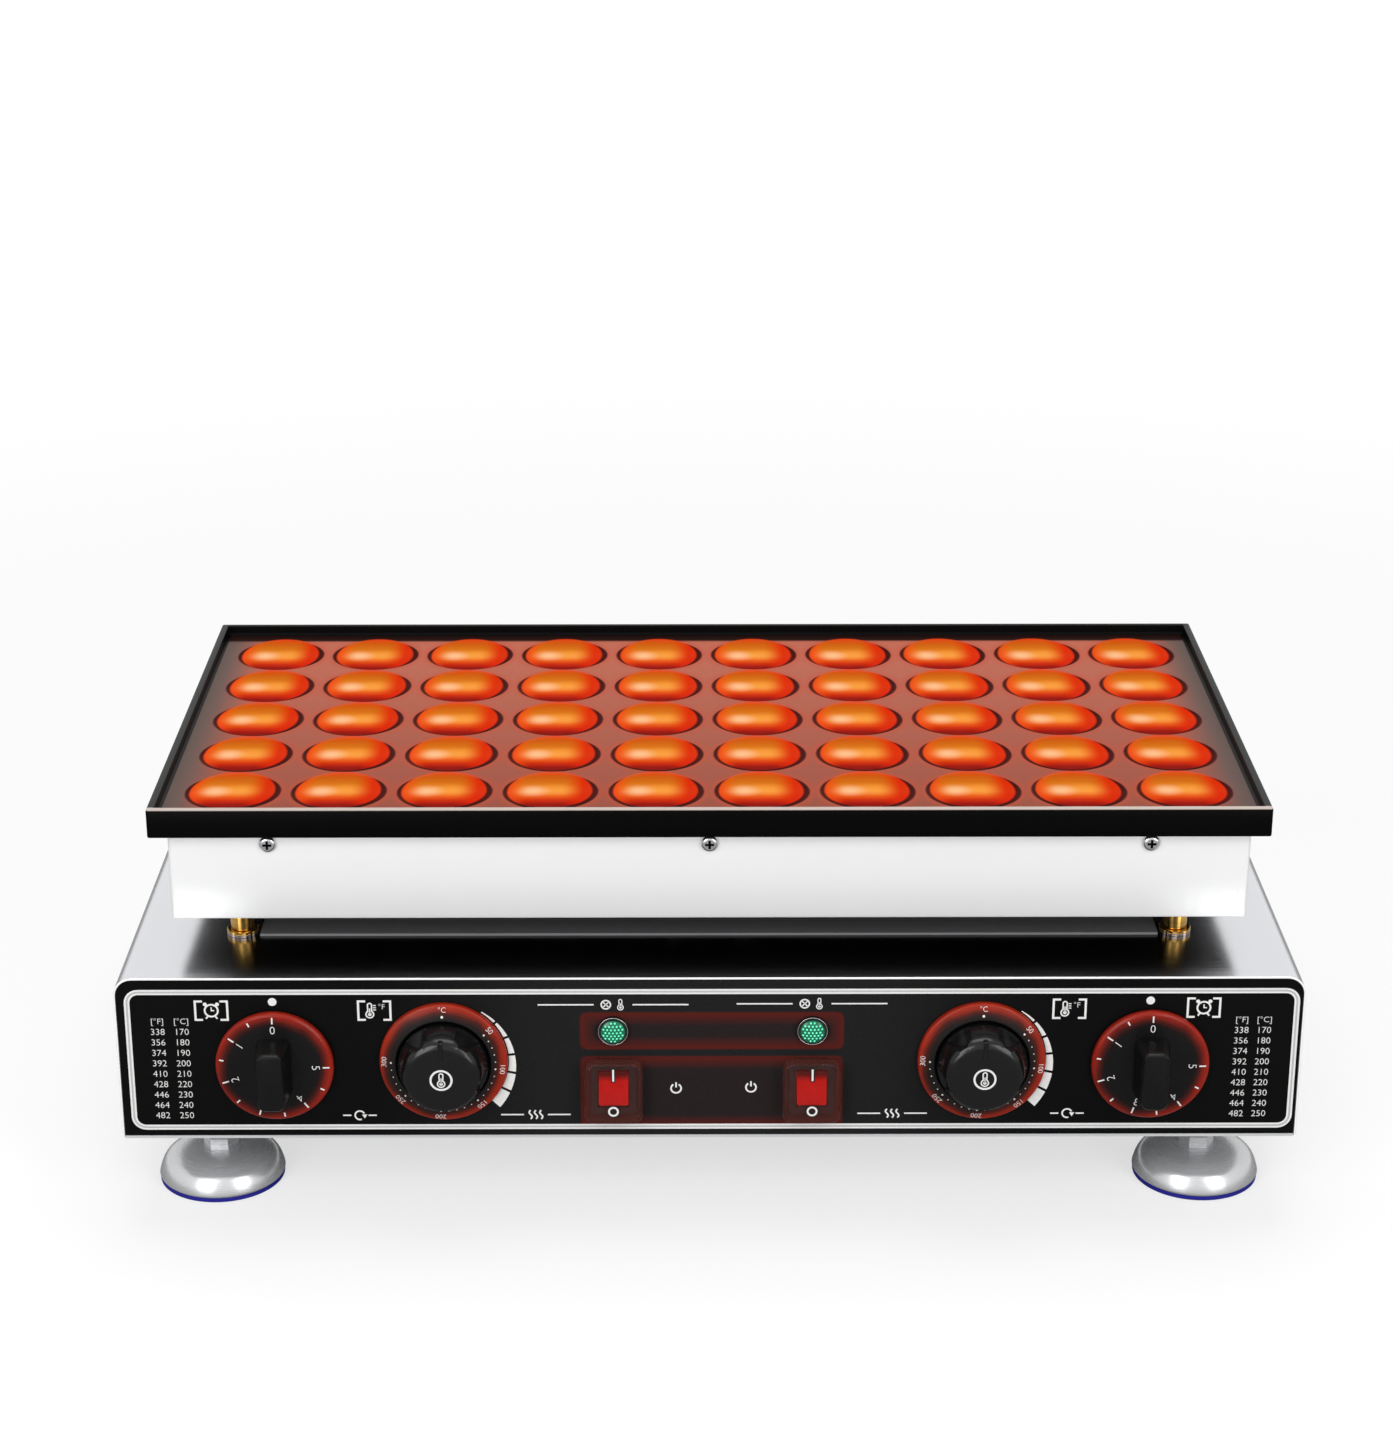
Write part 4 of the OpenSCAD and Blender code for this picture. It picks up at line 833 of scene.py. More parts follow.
for x in THERMOSTAT_X:
    for k in range(WEDGE_COUNT):
        inner_edge, outer_edge = [], []
        for i in range(WEDGE_STEPS + 1):
            on = wedge_step * k + (wedge_step - WEDGE_GAP) * i / WEDGE_STEPS
            thick = WEDGE_T[0] + (WEDGE_T[1] - WEDGE_T[0]) * on / wedge_turn
            a = radians(WEDGE_ARC[0] + on)
            for edge, r in ((inner_edge, WEDGE_R), (outer_edge, WEDGE_R + thick)):
                edge.append((x + r * sin(a), THERMOSTAT_Z + r * cos(a)))
        blot(ink, inner_edge + outer_edge[::-1])


def frame_band(form, out, width):
    """A closed band along the frame line, its outer edge this far outside the line's middle."""
    wide, tall = FRAME_X[1] - FRAME_X[0], FRAME_Z[1] - FRAME_Z[0]
    middle = (sum(FRAME_X) / 2, sum(FRAME_Z) / 2)
    edges = [rounded(wide + 2 * o, tall + 2 * o, FRAME_CORNER + o, 0, middle) for o in (out, out - width)]
    loft(form, edges, start=False, end=False)


outer_line = (FRAME_LINE - FRAME_CORE) / 2
frame_band(ink, FRAME_LINE / 2, outer_line)
frame_band(ink, -FRAME_CORE / 2, outer_line)
core = bmesh.new()
frame_band(core, FRAME_CORE / 2, FRAME_CORE)
# Screen ink: matt, with the slight mottle of the mesh it was pressed through.
white_ink = mottled("white_screen_ink", INK_GRAIN, 2, "#d8d8d6", "#f6f6f4", INK)
grey_ink = mottled("grey_screen_ink", INK_GRAIN, 2, "#aeaeae", "#c4c4c4", INK)
for name, layer, finish in (("panel_print", ink, white_ink), ("frame_line_core", core, grey_ink)):
    press(layer)
    piece(name, cast(layer, finish, place=on_panel(0, 0, FASCIA_Y)), "chassis", "printed_fascia")

# The timer knobs: a disc with a printed minute scale and a straight grip, moulded in one in black phenolic.
# The disc's edge has a dark red band that fades inwards; the knob is pushed on to the timer's shaft.
SIDES = ("left", "right")
TIMER_X = (-179.8, 182.2)
TIMER_Z = 71
CASING_Y = extent("base_casing")[0].y
DISC_R = 24.4
DISC_T = 3.5
DISC_CROWN = 0.6
DISC_GAP = 0.2
DISC_RINGS = (0, 4, 8, 12, 15, 18, 20.5, 22.6)
DISC_RIM_R = 23.2
DISC_RIM_DROP = 0.8
DISC_ROUND = 0.7
GRIP_FOOT = (14.6, 26.6)
GRIP_FACE = (11.6, 26)
GRIP_CORNER = 3.5
GRIP_SUNK = 0.5
GRIP_STRAIGHT = 0.85
GRIP_TIERS = ((0, 0), (GRIP_STRAIGHT, 0), (0.94, 0.25), (0.985, 0.8), (1, 1.6))
MINUTES = 5
MINUTE_STEP = 54
TICK_R = (20.0, 22.8)
TICK_LINE = 0.62
NUMERAL_R = 17.0
NUMERAL_H = 3.6
DIAL_GRIT = 1.2
BAND_WANDER = (-1.2, 0.8)


def mark_places(form):
    """Keeps the place of each face's corners, in millimetres, as an attribute that a pattern can follow."""
    layer = form.loops.layers.float_vector.new("dial_place")
    for face in form.faces:
        for corner in face.loops:
            corner[layer] = corner.vert.co


def lay_stops(shade, stops):
    """Lays colours at their positions on the ramp that a shade comes from."""
    elements = shade.node.color_ramp.elements
    for k, (position, colour) in enumerate(stops):
        stop = elements[k] if k < 2 else elements.new(position)
        stop.position = position
        stop.color = tint(colour)


def dial_plastic(name, band, colours, rough=0.3, gloss=0.22):
    """Black phenolic with a red band towards the edge of a dial, which follows the distance from its axis."""
    made, tree, shader = surface(name, {"Roughness": rough, "Specular IOR Level": gloss})
    place = add(tree, "Attribute", attribute_name="dial_place").node.outputs["Vector"]
    flat = add(tree, "VectorMath", [place, (1, 1, 0)], operation="MULTIPLY")
    radius = add(tree, "VectorMath", [flat], operation="LENGTH")
    grit = add(tree, "TexNoise", {"Vector": place, "Scale": DIAL_GRIT, "Detail": 3})
    wander = add(tree, "TexNoise", {"Vector": place, "Scale": 0.06, "Detail": 1})
    shift = add(tree, "MapRange", [wander, *NOISE_SPAN, *BAND_WANDER])
    radius = add(tree, "Math", [radius, shift], operation="ADD")
    shade = add(tree, "ValToRGB", [add(tree, "MapRange", [radius, *band])])
    lay_stops(shade, [(k / (len(colours) - 1), colour) for k, colour in enumerate(colours)])
    speck = add(tree, "MapRange", [grit, *NOISE_SPAN, 0, 0.6])
    shade = add(tree, "Mix", [speck, shade, tint("#0e0e0f")], blend_type="ADD", **COLOURS)
    bump = add(tree, "Bump", {"Height": grit, "Strength": 0.08, "Distance": 0.05 * MM})
    fill(shader, {"Base Color": shade, "Normal": bump})
    return made


def disc_height(radius):
    """Height of the disc's crowned face at a distance from the axis."""
    return DISC_T + DISC_CROWN * (1 - min(radius / DISC_R, 1) ** 2)


timer_plastic = dial_plastic("black_phenolic_timer", (17.5, DISC_R),
                             ("#070707", "#140606", "#440e07", "#7e180a", "#98200e"))
for side, x in zip(SIDES, TIMER_X):
    body = "timer_dial_" + side
    knob = "timer_knob_" + side
    place = on_panel(x, TIMER_Z, CASING_Y)
    form = bmesh.new()
    face = [(r, disc_height(r)) for r in DISC_RINGS]
    rim = [(DISC_RIM_R, disc_height(DISC_RIM_R)), (DISC_R, DISC_T - DISC_RIM_DROP), (DISC_R, DISC_GAP),
           (0, DISC_GAP)]
    lathe(form, face + soften(rim, DISC_ROUND), 96)
    grip_foot = DISC_T - GRIP_SUNK
    grip_out = CASING_Y - extent(knob)[0].y
    rings = []
    for share, inset in GRIP_TIERS:
        drawn = min(share / GRIP_STRAIGHT, 1)
        size = [foot + (top - foot) * drawn - 2 * inset for foot, top in zip(GRIP_FOOT, GRIP_FACE)]
        z = grip_foot + (grip_out - grip_foot) * share
        rings.append(rounded(*size, max(GRIP_CORNER - inset, 1), z))
    loft(form, rings)
    mark_places(form)
    piece("timer_dial_knob_" + side, cast(form, timer_plastic, place=place), body, "knob_plastic", knob)
    ink = bmesh.new()
    for half in range(2 * MINUTES + 1):
        a = radians(MINUTE_STEP * half / 2)
        stroke(ink, [(-r * sin(a), r * cos(a)) for r in (TICK_R[0] + half % 2, TICK_R[1])], TICK_LINE)
        if half % 2 == 0:
            figures(ink, str(half // 2), NUMERAL_H, (-NUMERAL_R * sin(a), NUMERAL_R * cos(a)), a)
    press(ink, disc_height)
    piece("timer_scale_" + side, cast(ink, white_ink, place=place), body, "knob_plastic")

# The thermostat rings: fixed black rings with the printed temperature scale and a red outer band.
# Each is moulded with a sloping face and held on the panel round its knob.
RING_R = 26.5
RING_BORE = 19.4
RING_FACE = ((19.9, 4.5), (26.0, 3.0))
RING_SECTION = ((RING_BORE, 0), (RING_R, 0), (RING_R, 2.2), RING_FACE[1], RING_FACE[0], (RING_BORE, 4.1))
RING_ROUND = 0.5
SCALE_START = 52
SCALE_STEP = 44
SCALE_MARKS = 6
SCALE_PARTS = 5
DOT_R = 21.6
DOT_SIZES = (0.42, 0.26)
ZERO_DOT = 0.55
HEAT_R = 24.4
HEAT_H = 2.3
ring_plastic = dial_plastic("black_phenolic_ring", (20.0, RING_R),
                            ("#141211", "#1c1311", "#46140b", "#8c210b", "#a0260e"))


def ring_height(radius):
    """Height of the ring's sloping face at a distance from the axis."""
    (r0, z0), (r1, z1) = RING_FACE
    return z0 + (z1 - z0) * (radius - r0) / (r1 - r0)


for side, x in zip(SIDES, THERMOSTAT_X):
    place = on_panel(x, THERMOSTAT_Z, FASCIA_Y)
    form = bmesh.new()
    section = soften(RING_SECTION, RING_ROUND, closed=True)
    lathe(form, section + section[:1], 96)
    mark_places(form)
    piece("scale_ring_" + side, cast(form, ring_plastic, place=place), "chassis", "dial_print",
          "thermostat_ring_" + side)
    ink = bmesh.new()
    for mark in range(SCALE_PARTS * (SCALE_MARKS - 1) + 1):
        a = radians(SCALE_START + SCALE_STEP * mark / SCALE_PARTS)
        between = mark % SCALE_PARTS > 0
        blot(ink, ring_of(DOT_SIZES[between], (DOT_R * sin(a), DOT_R * cos(a)), 10))
        if not between:
            figures(ink, str(50 + 10 * mark), HEAT_H, (HEAT_R * sin(a), HEAT_R * cos(a)), -a)
    blot(ink, ring_of(ZERO_DOT, (0, DOT_R), 12))
    figures(ink, "°C", HEAT_H, (0, HEAT_R))
    press(ink, ring_height)
    piece("heat_scale_" + side, cast(ink, white_ink, place=place), "chassis", "dial_print")

# The thermostat knobs: black phenolic, moulded with five finger scallops and a pointer ridge at the top.
# A thermometer sign is printed low on the face.
KNOB_R = 18.6
KNOB_OUT = 17
KNOB_STEPS = 240
SCALLOPS = 5
SCALLOP_R = 7
SCALLOP_BITE = 3.2
SCALLOP_FOOT = 5.5
POINTER = (2.0, 8.4)
POINTER_R = 12.4
POINTER_CORNER = 0.5
POINTER_TIERS = ((-2, 0), (0.4, 0.05), (0.75, 0.35))
KNOB_SIGN_Z = -0.6
KNOB_SIGN_R = 4.3
KNOB_SIGN_LINE = 0.85
KNOB_SIGN_H = 6.2
KNOB_SECTION = ((KNOB_R, 0.2), (KNOB_R, 5.4), (KNOB_R, SCALLOP_FOOT), (KNOB_R, 7), (16.7, 13.0),
                (16.2, 14.6), (15.3, 15.9), (14.0, 16.7), (12.4, KNOB_OUT))
knob_plastic = dial_plastic("black_phenolic_knob", (60, 70), ("#080809", "#0e0e0f"), rough=0.2, gloss=0.36)


def scalloped(radius, turn):
    """Distance from the axis to the side of the knob in one direction."""
    step = 2 * pi / SCALLOPS
    off = (turn - pi / 2) % step - step / 2
    centre = KNOB_R + SCALLOP_R - SCALLOP_BITE
    if abs(centre * sin(off)) >= SCALLOP_R:
        return radius
    return min(radius, centre * cos(off) - sqrt(SCALLOP_R**2 - (centre * sin(off)) ** 2))


for side, x in zip(SIDES, THERMOSTAT_X):
    body = "thermostat_dial_" + side
    form = bmesh.new()
    rings = []
    turns = [2 * pi * i / KNOB_STEPS for i in range(KNOB_STEPS)]
    for radius, z in KNOB_SECTION:
        reach = [scalloped(radius, a) if z >= SCALLOP_FOOT else radius for a in turns]
        rings.append([(r * cos(a), r * sin(a), z) for r, a in zip(reach, turns)])
    loft(form, rings)
    ridge = []
    for rise, inset in POINTER_TIERS:
        size = [length - 2 * inset for length in POINTER]
        ridge.append(rounded(*size, POINTER_CORNER, KNOB_OUT + rise, (0, POINTER_R)))
    loft(form, ridge)
    mark_places(form)
    piece("heat_knob_" + side, cast(form, knob_plastic, place=on_panel(x, THERMOSTAT_Z, CASING_Y)), body,
          "knob_plastic", "thermostat_knob_" + side)
    ink = bmesh.new()
    stroke(ink, ring_of(KNOB_SIGN_R, (0, KNOB_SIGN_Z)), KNOB_SIGN_LINE, closed=True)
    stamp(ink, (0, KNOB_SIGN_Z), thermometer, KNOB_SIGN_H)
    press(ink)
    place = on_panel(x, THERMOSTAT_Z, CASING_Y - KNOB_OUT)
    piece("knob_sign_" + side, cast(ink, white_ink, place=place), body, "knob_plastic")

# The switches: black housings snapped into the panel, each with a red rocker on two pivot stubs.
# The rocker is moulded in clear red plastic, with painted shade that darkens its upper end.
SWITCH_X = (-39.9, 42.3)
SWITCH_Z = 59.7
ROCKER_W = 12.2
ROCKER_L = 14.4
ROCKER_TILT = 10
ROCKER_SECTION = ((-7.2, 6.8), (-3.24, 5.65), (0, 5.4), (3.24, 5.65), (7.2, 6.8), (7.2, 1), (3.6, -4),
                  (-3.6, -4), (-7.2, 1))
ROCKER_ROUND = 0.6
ROCKER_EDGE = 0.35
ROCKER_SHADE_RISE = (4, 7)
PIVOT_IN = 3
paint(gland_plastic, *["switch_body_" + side for side in SIDES])
# Clear red polycarbonate: deep and glossy, with a painted glow of its own.
rocker_red, tree, shader = surface("red_polycarbonate", {"Roughness": 0.2, "Specular IOR Level": 0.1})
spot = add(tree, "TexCoord").node.outputs["Object"]
flow = add(tree, "TexNoise", {"Vector": spot, "Scale": 1 / (4 * MM), "Detail": 1})
height = add(tree, "SeparateXYZ", [spot]).node.outputs["Z"]
# Painted shade: the rocker is painted darker towards its upper end.
top_shade = add(tree, "MapRange", [height, *[(SWITCH_Z + rise) * MM for rise in ROCKER_SHADE_RISE]])
shade = add(tree, "Mix", [flow, tint("#b00000"), tint("#c80000")], **COLOURS)
shade = add(tree, "Mix", [top_shade, shade, tint("#4c0000")], **COLOURS)
fill(shader, {"Base Color": shade, "Emission Color": shade, "Emission Strength": 0.45})

for side, x in zip(SIDES, SWITCH_X):
    form = bmesh.new()
    rings = []
    half = ROCKER_W / 2
    ends = ((-half, ROCKER_EDGE), (ROCKER_EDGE - half, 0), (half - ROCKER_EDGE, 0), (half, ROCKER_EDGE))
    for px, inset in ends:
        share = 1 - inset / (ROCKER_L / 2)
        section = [(y * share, z * share) for y, z in ROCKER_SECTION]
        rings.append([(px, y, z) for y, z in soften(section, ROCKER_ROUND, steps=3, closed=True)])
    loft(form, rings)
    lean = on_panel(x, SWITCH_Z, CASING_Y + PIVOT_IN) @ Matrix.Rotation(radians(-ROCKER_TILT), 4, "X")
    piece("red_rocker_" + side, cast(form, rocker_red, place=lean), "rocker_key_" + side, "red_rocker",
          "rocker_" + side)

# The switch boots: clear soft covers, moulded like small trays and clipped over the switches against batter.
# Their round edges catch the light, the rocker shows through, and its two signs are printed on the front.
BOOT = (24.2, 27.5)
BOOT_CORNER = 4
BOOT_OUT = 7.5
BOOT_SKIN = ((0, -BOOT_OUT), (0, -1.6), (0.3, -0.7), (0.9, -0.15), (1.8, 0))
BOOT_LINING = ((1.8, -1), (1.2, -1.3), (1.0, -2), (1.0, -BOOT_OUT))
BAR_SIGN = (4.6, 9.3)
RING_SIGN = (1.85, -7.4)
BLACK_LINE = 1.9
WHITE_LINE = 0.8
black_ink = mottled("black_screen_ink", INK_GRAIN, 2, "#161616", "#0a0a0a", INK)
# Clear vinyl: almost unseen from the front and denser where its walls are seen edge on.
boot_clear = mottled("clear_vinyl", 6, 2, "#5c2e28", "#7a443c",
                     {"Roughness": 0.1, "Specular IOR Level": 0.4})
tree = boot_clear.node_tree
facing = add(tree, "LayerWeight", {"Blend": 0.4}).node.outputs["Facing"]
fill(tree.nodes["Principled BSDF"], {"Alpha": add(tree, "MapRange", [facing, 0, 1, 0.07, 0.8])})


def boot_tier(wall, corner, drop):
    """Ring of the boot at a wall's depth, this far from its front."""
    return rounded(BOOT[0] - 2 * wall, BOOT[1] - 2 * wall, corner, BOOT_OUT + drop)


for side, x in zip(SIDES, SWITCH_X):
    form = bmesh.new()
    loft(form, [boot_tier(wall, BOOT_CORNER - wall / 2, drop) for wall, drop in BOOT_SKIN], start=False)
    loft(form, [boot_tier(wall, BOOT_CORNER - wall, drop) for wall, drop in BOOT_LINING], end=False)
    bmesh.ops.bridge_loops(form, edges=[e for e in form.edges if e.is_boundary])
    piece("clear_boot_" + side, cast(form, boot_clear, place=on_panel(x, SWITCH_Z, FASCIA_Y)), "chassis",
          "clear_boot", "switch_boot_" + side)
    for layer, (finish, line) in enumerate(((black_ink, BLACK_LINE), (white_ink, WHITE_LINE))):
        sign = bmesh.new()
        bar = (BAR_SIGN[0] + line) / 2
        stroke(sign, [(0, BAR_SIGN[1] - bar), (0, BAR_SIGN[1] + bar)], line)
        stroke(sign, ring_of(RING_SIGN[0], (0, RING_SIGN[1])), line, closed=True)
        press(sign)
        place = on_panel(x, SWITCH_Z, FASCIA_Y - BOOT_OUT - layer * INK_T)
        piece(f"boot_sign_{side}_{layer}", cast(sign, finish, place=place), "chassis", "clear_boot")

# The indicator lamps: black barrels with a bright-edged bezel and a green lens snapped in.
# The lens is moulded in acrylic with rows of small pips that scatter the light.
LAMP_Z = 86.3
BEZEL_R = 6.2
BEZEL_T = 2
BARREL = (4.9, -25.7)
RIM_IN = 5.95
RIM_Z = (BEZEL_T - 0.4, BEZEL_T + 0.05)
RIM_SECTION = ((RIM_IN, RIM_Z[0]), (BEZEL_R, RIM_Z[0]), (BEZEL_R, RIM_Z[1]), (RIM_IN, RIM_Z[1]))
RIM_ROUND = 0.15
LENS_R = 4.95
LENS_SEAT = 0.7
LENS_RISE = 2.9
LENS_CROWN = 1.2
SEAT_R = LENS_R + 0.05
BEZEL = ((SEAT_R, LENS_SEAT), (SEAT_R, BEZEL_T - 0.1), (BEZEL_R - 0.4, BEZEL_T), (BEZEL_R, BEZEL_T - 0.8),
         (BEZEL_R, 0), (BARREL[0], 0), BARREL, (0, BARREL[1]), (0, LENS_SEAT), (SEAT_R, LENS_SEAT))
PIP_STEP = 1.55
PIP_R = 0.52
PIP = ((PIP_R, -0.1), (PIP_R * 0.72, 0.22), (0, 0.36))
PIP_REACH = 5
bezel_plastic = mottled("gloss_black_plastic", 2, 2, "#0a0a0b", "#1c1c1e",
                        {"Roughness": 0.16, "Specular IOR Level": 0.6})
for side, x in zip(SIDES, SWITCH_X):
    place = on_panel(x, LAMP_Z, FASCIA_Y)
    form = bmesh.new()
    rim = soften(RIM_SECTION, RIM_ROUND, closed=True)
    lathe(form, rim + rim[:1], 48)
    piece("lamp_rim_" + side, cast(form, screw_steel, place=place), "chassis", "switch_plastic")
    form = bmesh.new()
    lathe(form, BEZEL, 48)
    piece("lamp_holder_" + side, cast(form, bezel_plastic, place=place), "chassis", "switch_plastic",
          "lamp_body_" + side)

# Clear green acrylic lit a little from behind, its depth shown by soft changes of shade.
ACRYLIC = {"Roughness": 0.15, "Specular IOR Level": 0.4}
lens_green = mottled("green_acrylic", 1.5, 1, "#04583a", "#0a7650", ACRYLIC, glow=0.15)
pip_green = mottled("green_acrylic_pips", 1.5, 1, "#4adcae", "#8af4d4", ACRYLIC, glow=0.35)


def lens_height(radius):
    """Height of the lens dome at a distance from its axis."""
    return LENS_SEAT + LENS_RISE - LENS_CROWN * (radius / LENS_R) ** 2


form = bmesh.new()
lathe(form, PIP, 6)
pip = cast(form)
for side, x in zip(SIDES, SWITCH_X):
    form = bmesh.new()
    dome = [(r, lens_height(r)) for r in [LENS_R * k / 6 for k in range(7)]]
    lathe(form, dome + [(LENS_R, LENS_SEAT), (0, LENS_SEAT)], 48)
    piece("lamp_dome_" + side, cast(form, lens_green, place=on_panel(x, LAMP_Z, FASCIA_Y)), "chassis",
          "green_lens", "lamp_lens_" + side)
    places = []
    for i in range(-PIP_REACH, PIP_REACH + 1):
        for j in range(-PIP_REACH, PIP_REACH + 1):
            px, py = (i + j / 2) * PIP_STEP, j * PIP_STEP * sqrt(3) / 2
            off = hypot(px, py)
            if off < LENS_R - PIP_R:
                places.append(((x + px, FASCIA_Y - lens_height(off), LAMP_Z + py), (pi / 2, 0, 0)))
    piece("lamp_pips_" + side, repeat(pip, places, pip_green), "chassis", "green_lens")

# The works inside the base: clockwork timers and capillary thermostats in ivory thermoset cases,
# with zinc-plated shafts and screws, copper capillaries, a terminal block and red silicone wires.
CONTROLS = ("timer", "thermostat")
# Pressed thermoset is half matt and clouded, drawn copper bright under its tarnish, silicone dull and dusty.
thermoset = mottled("ivory_thermoset", 6, 4, "#d4ccb8", "#e6e0d0",
                    {"Roughness": 0.5, "Specular IOR Level": 0.35})
copper = mottled("drawn_copper", 8, 4, "#8e5434", "#c9825c", {"Metallic": 1, "Roughness": 0.3})
silicone = mottled("red_silicone", 2, 3, "#7c1812", "#a02a20",
                   {"Roughness": 0.55, "Specular IOR Level": 0.3})
paint(thermoset, "terminal_block", *[f"{control}_body_{side}" for control in CONTROLS for side in SIDES])
paint(zinc, "control_screws", *[f"{control}_shaft_{side}" for control in CONTROLS for side in SIDES])
paint(copper, *["capillary_" + side for side in SIDES])
paint(silicone, "wiring")

# The heat shield: a plain sheet laid on the base between the posts, which throws heat back up.
# It is cut from sheet with a dull mill finish.
paint(sheet_steel("dull_stainless", "#8e8e90", "X", (0.5, 0.6), 0.1, metal=0.6), "heat_shield")

# The brass posts: turned tubes that lift the heater box off the base, each clamped by a zinc-plated bolt.
# A toothed brass washer lies under each post and a plain steel one with teeth under that.
POST_R = 5
POST_BORE = 2.75
POST_ROUND = 0.5
WASHER_R = 6.7
WASHER_TEETH = 20
WASHER_EDGE = 0.15
TOOTH = 0.35
# Polished brass: warm and bright, with fine turned rings.
BRASS_LINES = (6, 6, 1 / (0.3 * MM))
brass = lined_metal("polished_brass", BRASS_LINES, 2, (0, 1, 0.1, 0.26), {"Metallic": 1},
                    shades=("#a87828", "#e8c070"))
bronze = sheet_steel("grey_bronze", "#b8a8a0", "X", (0.2, 0.3), 0.1)

low, high = extent("brass_posts")
post_x = (low.x + POST_R, high.x - POST_R)
post_y = (low.y + POST_R, high.y - POST_R)
posts = [((x, y, 0), (0, 0, 0)) for x in post_x for y in post_y]
form = bmesh.new()
tube = [(POST_BORE, low.z), (POST_R, low.z), (POST_R, high.z), (POST_BORE, high.z)]
tube = soften(tube, POST_ROUND, closed=True)
lathe(form, tube + tube[:1], 48)
piece("brass_spacers", repeat(cast(form), posts, brass), "chassis", "brass", "brass_posts")

washer_z = extent("post_washers")[0].z
washer_t = (extent("post_washers")[1].z - washer_z) / 2


def toothed_washer(z):
    """A washer with teeth round its edge, its lower face at a height."""
    steps = 4 * WASHER_TEETH
    turns = [2 * pi * i / steps for i in range(steps)]
    rings = []
    edge = ((0, WASHER_EDGE), (WASHER_EDGE, 0), (washer_t - WASHER_EDGE, 0), (washer_t, WASHER_EDGE))
    for height, inset in edge:
        reach = [WASHER_R - inset - TOOTH / 2 * (1 - cos(WASHER_TEETH * a)) for a in turns]
        rings.append([(r * cos(a), r * sin(a), z + height) for r, a in zip(reach, turns)])
    for height in (washer_t, 0):
        rings.append([(POST_BORE * cos(a), POST_BORE * sin(a), z + height) for a in turns])
    form = bmesh.new()
    loft(form, rings + rings[:1], start=False, end=False)
    return cast(form)


piece("brass_washers", repeat(toothed_washer(washer_z + washer_t), posts, brass), "chassis", "brass",
      "post_washers")
piece("steel_washers", repeat(toothed_washer(washer_z), posts, bronze), "chassis", "zinc_steel")
paint(zinc, "post_bolts", "post_nuts")

# The heater box: an open tray folded from brushed stainless sheet, its lines upright on the walls.
# It stands on the posts and the plate is screwed down into it.
BOX_CORNER = 1.6
BOX_FOLD = 1.4
BOX_FOLD_MIDDLE = 0.45
BOX_LEAST_CORNER = 0.3
UNDERSIDE_T = 0.1
box_low, box_high = extent("heater_box")
box_steel = sheet_steel("brushed_stainless", "#ffffff", "Z", (0.28, 0.44), 0.2, metal=0.2)
# The underside is painted a dull near-black with paler clouds: painted shade under the box, which the
# polished top below mirrors.
underside_shade_steel = mottled("painted_shade_underside", 25, 5, "#0e0e10", "#2c2a2a", {"Metallic": 0.6, "Roughness": 0.5})


def tiers(node, corner, least, insets):
    """Rings inside a node's outline, each with its inset and its height."""
    low, high = extent(node)
    wide, deep = high.x - low.x, high.y - low.y
    return [rounded(wide - 2 * inset, deep - 2 * inset, max(corner - inset, least), z, middle_of(node))
            for inset, z in insets]


form = bmesh.new()
loft(form, tiers("heater_box", BOX_CORNER, BOX_LEAST_CORNER, (
    (BOX_FOLD, box_low.z), (BOX_FOLD_MIDDLE, box_low.z + BOX_FOLD_MIDDLE), (0, box_low.z + BOX_FOLD),
    (0, box_high.z - EDGE), (EDGE, box_high.z), (SHEET_T - EDGE, box_high.z), (SHEET_T, box_high.z - EDGE),
    (SHEET_T, box_low.z + SHEET_T))))
# Faces on the underside take the painted shade.
for face in form.faces:
    face.material_index = int(face.calc_center_median().z < box_low.z + UNDERSIDE_T)
piece("heater_tray", cast(form, box_steel, underside_shade_steel), "chassis", "brushed_stainless", "heater_box")

# The heating gear in the box: two tubular elements in dark oxidised sheaths, zinc-plated clamp bars with
# their screws, and a pressed fibre board that keeps the heat from the base.
sheath = mottled("oxidised_sheath", 5, 5, "#3a3431", "#6e6057", {"Metallic": 0.8, "Roughness": 0.5})
paint(sheath, *["heater_element_" + side for side in SIDES])
paint(zinc, "element_clamps", "clamp_screws")
fibre = mottled("pressed_fibre", 1.5, 6, "#cfc4a8", "#efe8d6",
                {"Roughness": 0.9, "Specular IOR Level": 0.1}, relief=0.4, depth=0.2)
paint(fibre, "insulation_board")

# The baking plate: one aluminium casting with a rim and fifty round cups, coated black against sticking.
# It is shown with a painted glow: the deck and the cups glow, with painted highlights and shading, and the
# rim stays black.
CUPS = (10, 5)
CUP_PITCH = (44.2, 42.5)
CUP_R = 19.8
CUP_DEPTH = 11
CUP_SHIFT = -0.5
CUP_STEPS = 48
CUP_RINGS = 13
LIP = 0.6
RIM_T = 3.2
RIM_CORNER = 1.2
RIM_LEAST_CORNER = 0.4
DECK_DROP = 4.5
BLOCK_GAP = 1.5
FIELD_WELD = 0.01

low, high = extent("baking_plate")
deck_z = high.z - DECK_DROP
field_y = middle_of("baking_plate")[1] + CUP_SHIFT

cup_field, given = start_tree("cup_field", {
    "Cup": "Geometry", "Columns": "Int", "Rows": "Int", "Pitch X": "Float", "Pitch Y": "Float",
    "Finish": "Material"})
sizes = []
for count, pitch in (("Columns", "Pitch X"), ("Rows", "Pitch Y")):
    gaps = add(cup_field, "Math", [given[count], 1], operation="SUBTRACT")
    sizes.append(add(cup_field, "Math", [gaps, given[pitch]], operation="MULTIPLY"))
grid = add(cup_field, "GeometryNodeMeshGrid", [*sizes, given["Columns"], given["Rows"]])
copies = add(cup_field, "GeometryNodeInstanceOnPoints", {"Points": grid, "Instance": given["Cup"]})
end_tree(cup_field, given["Finish"], copies)
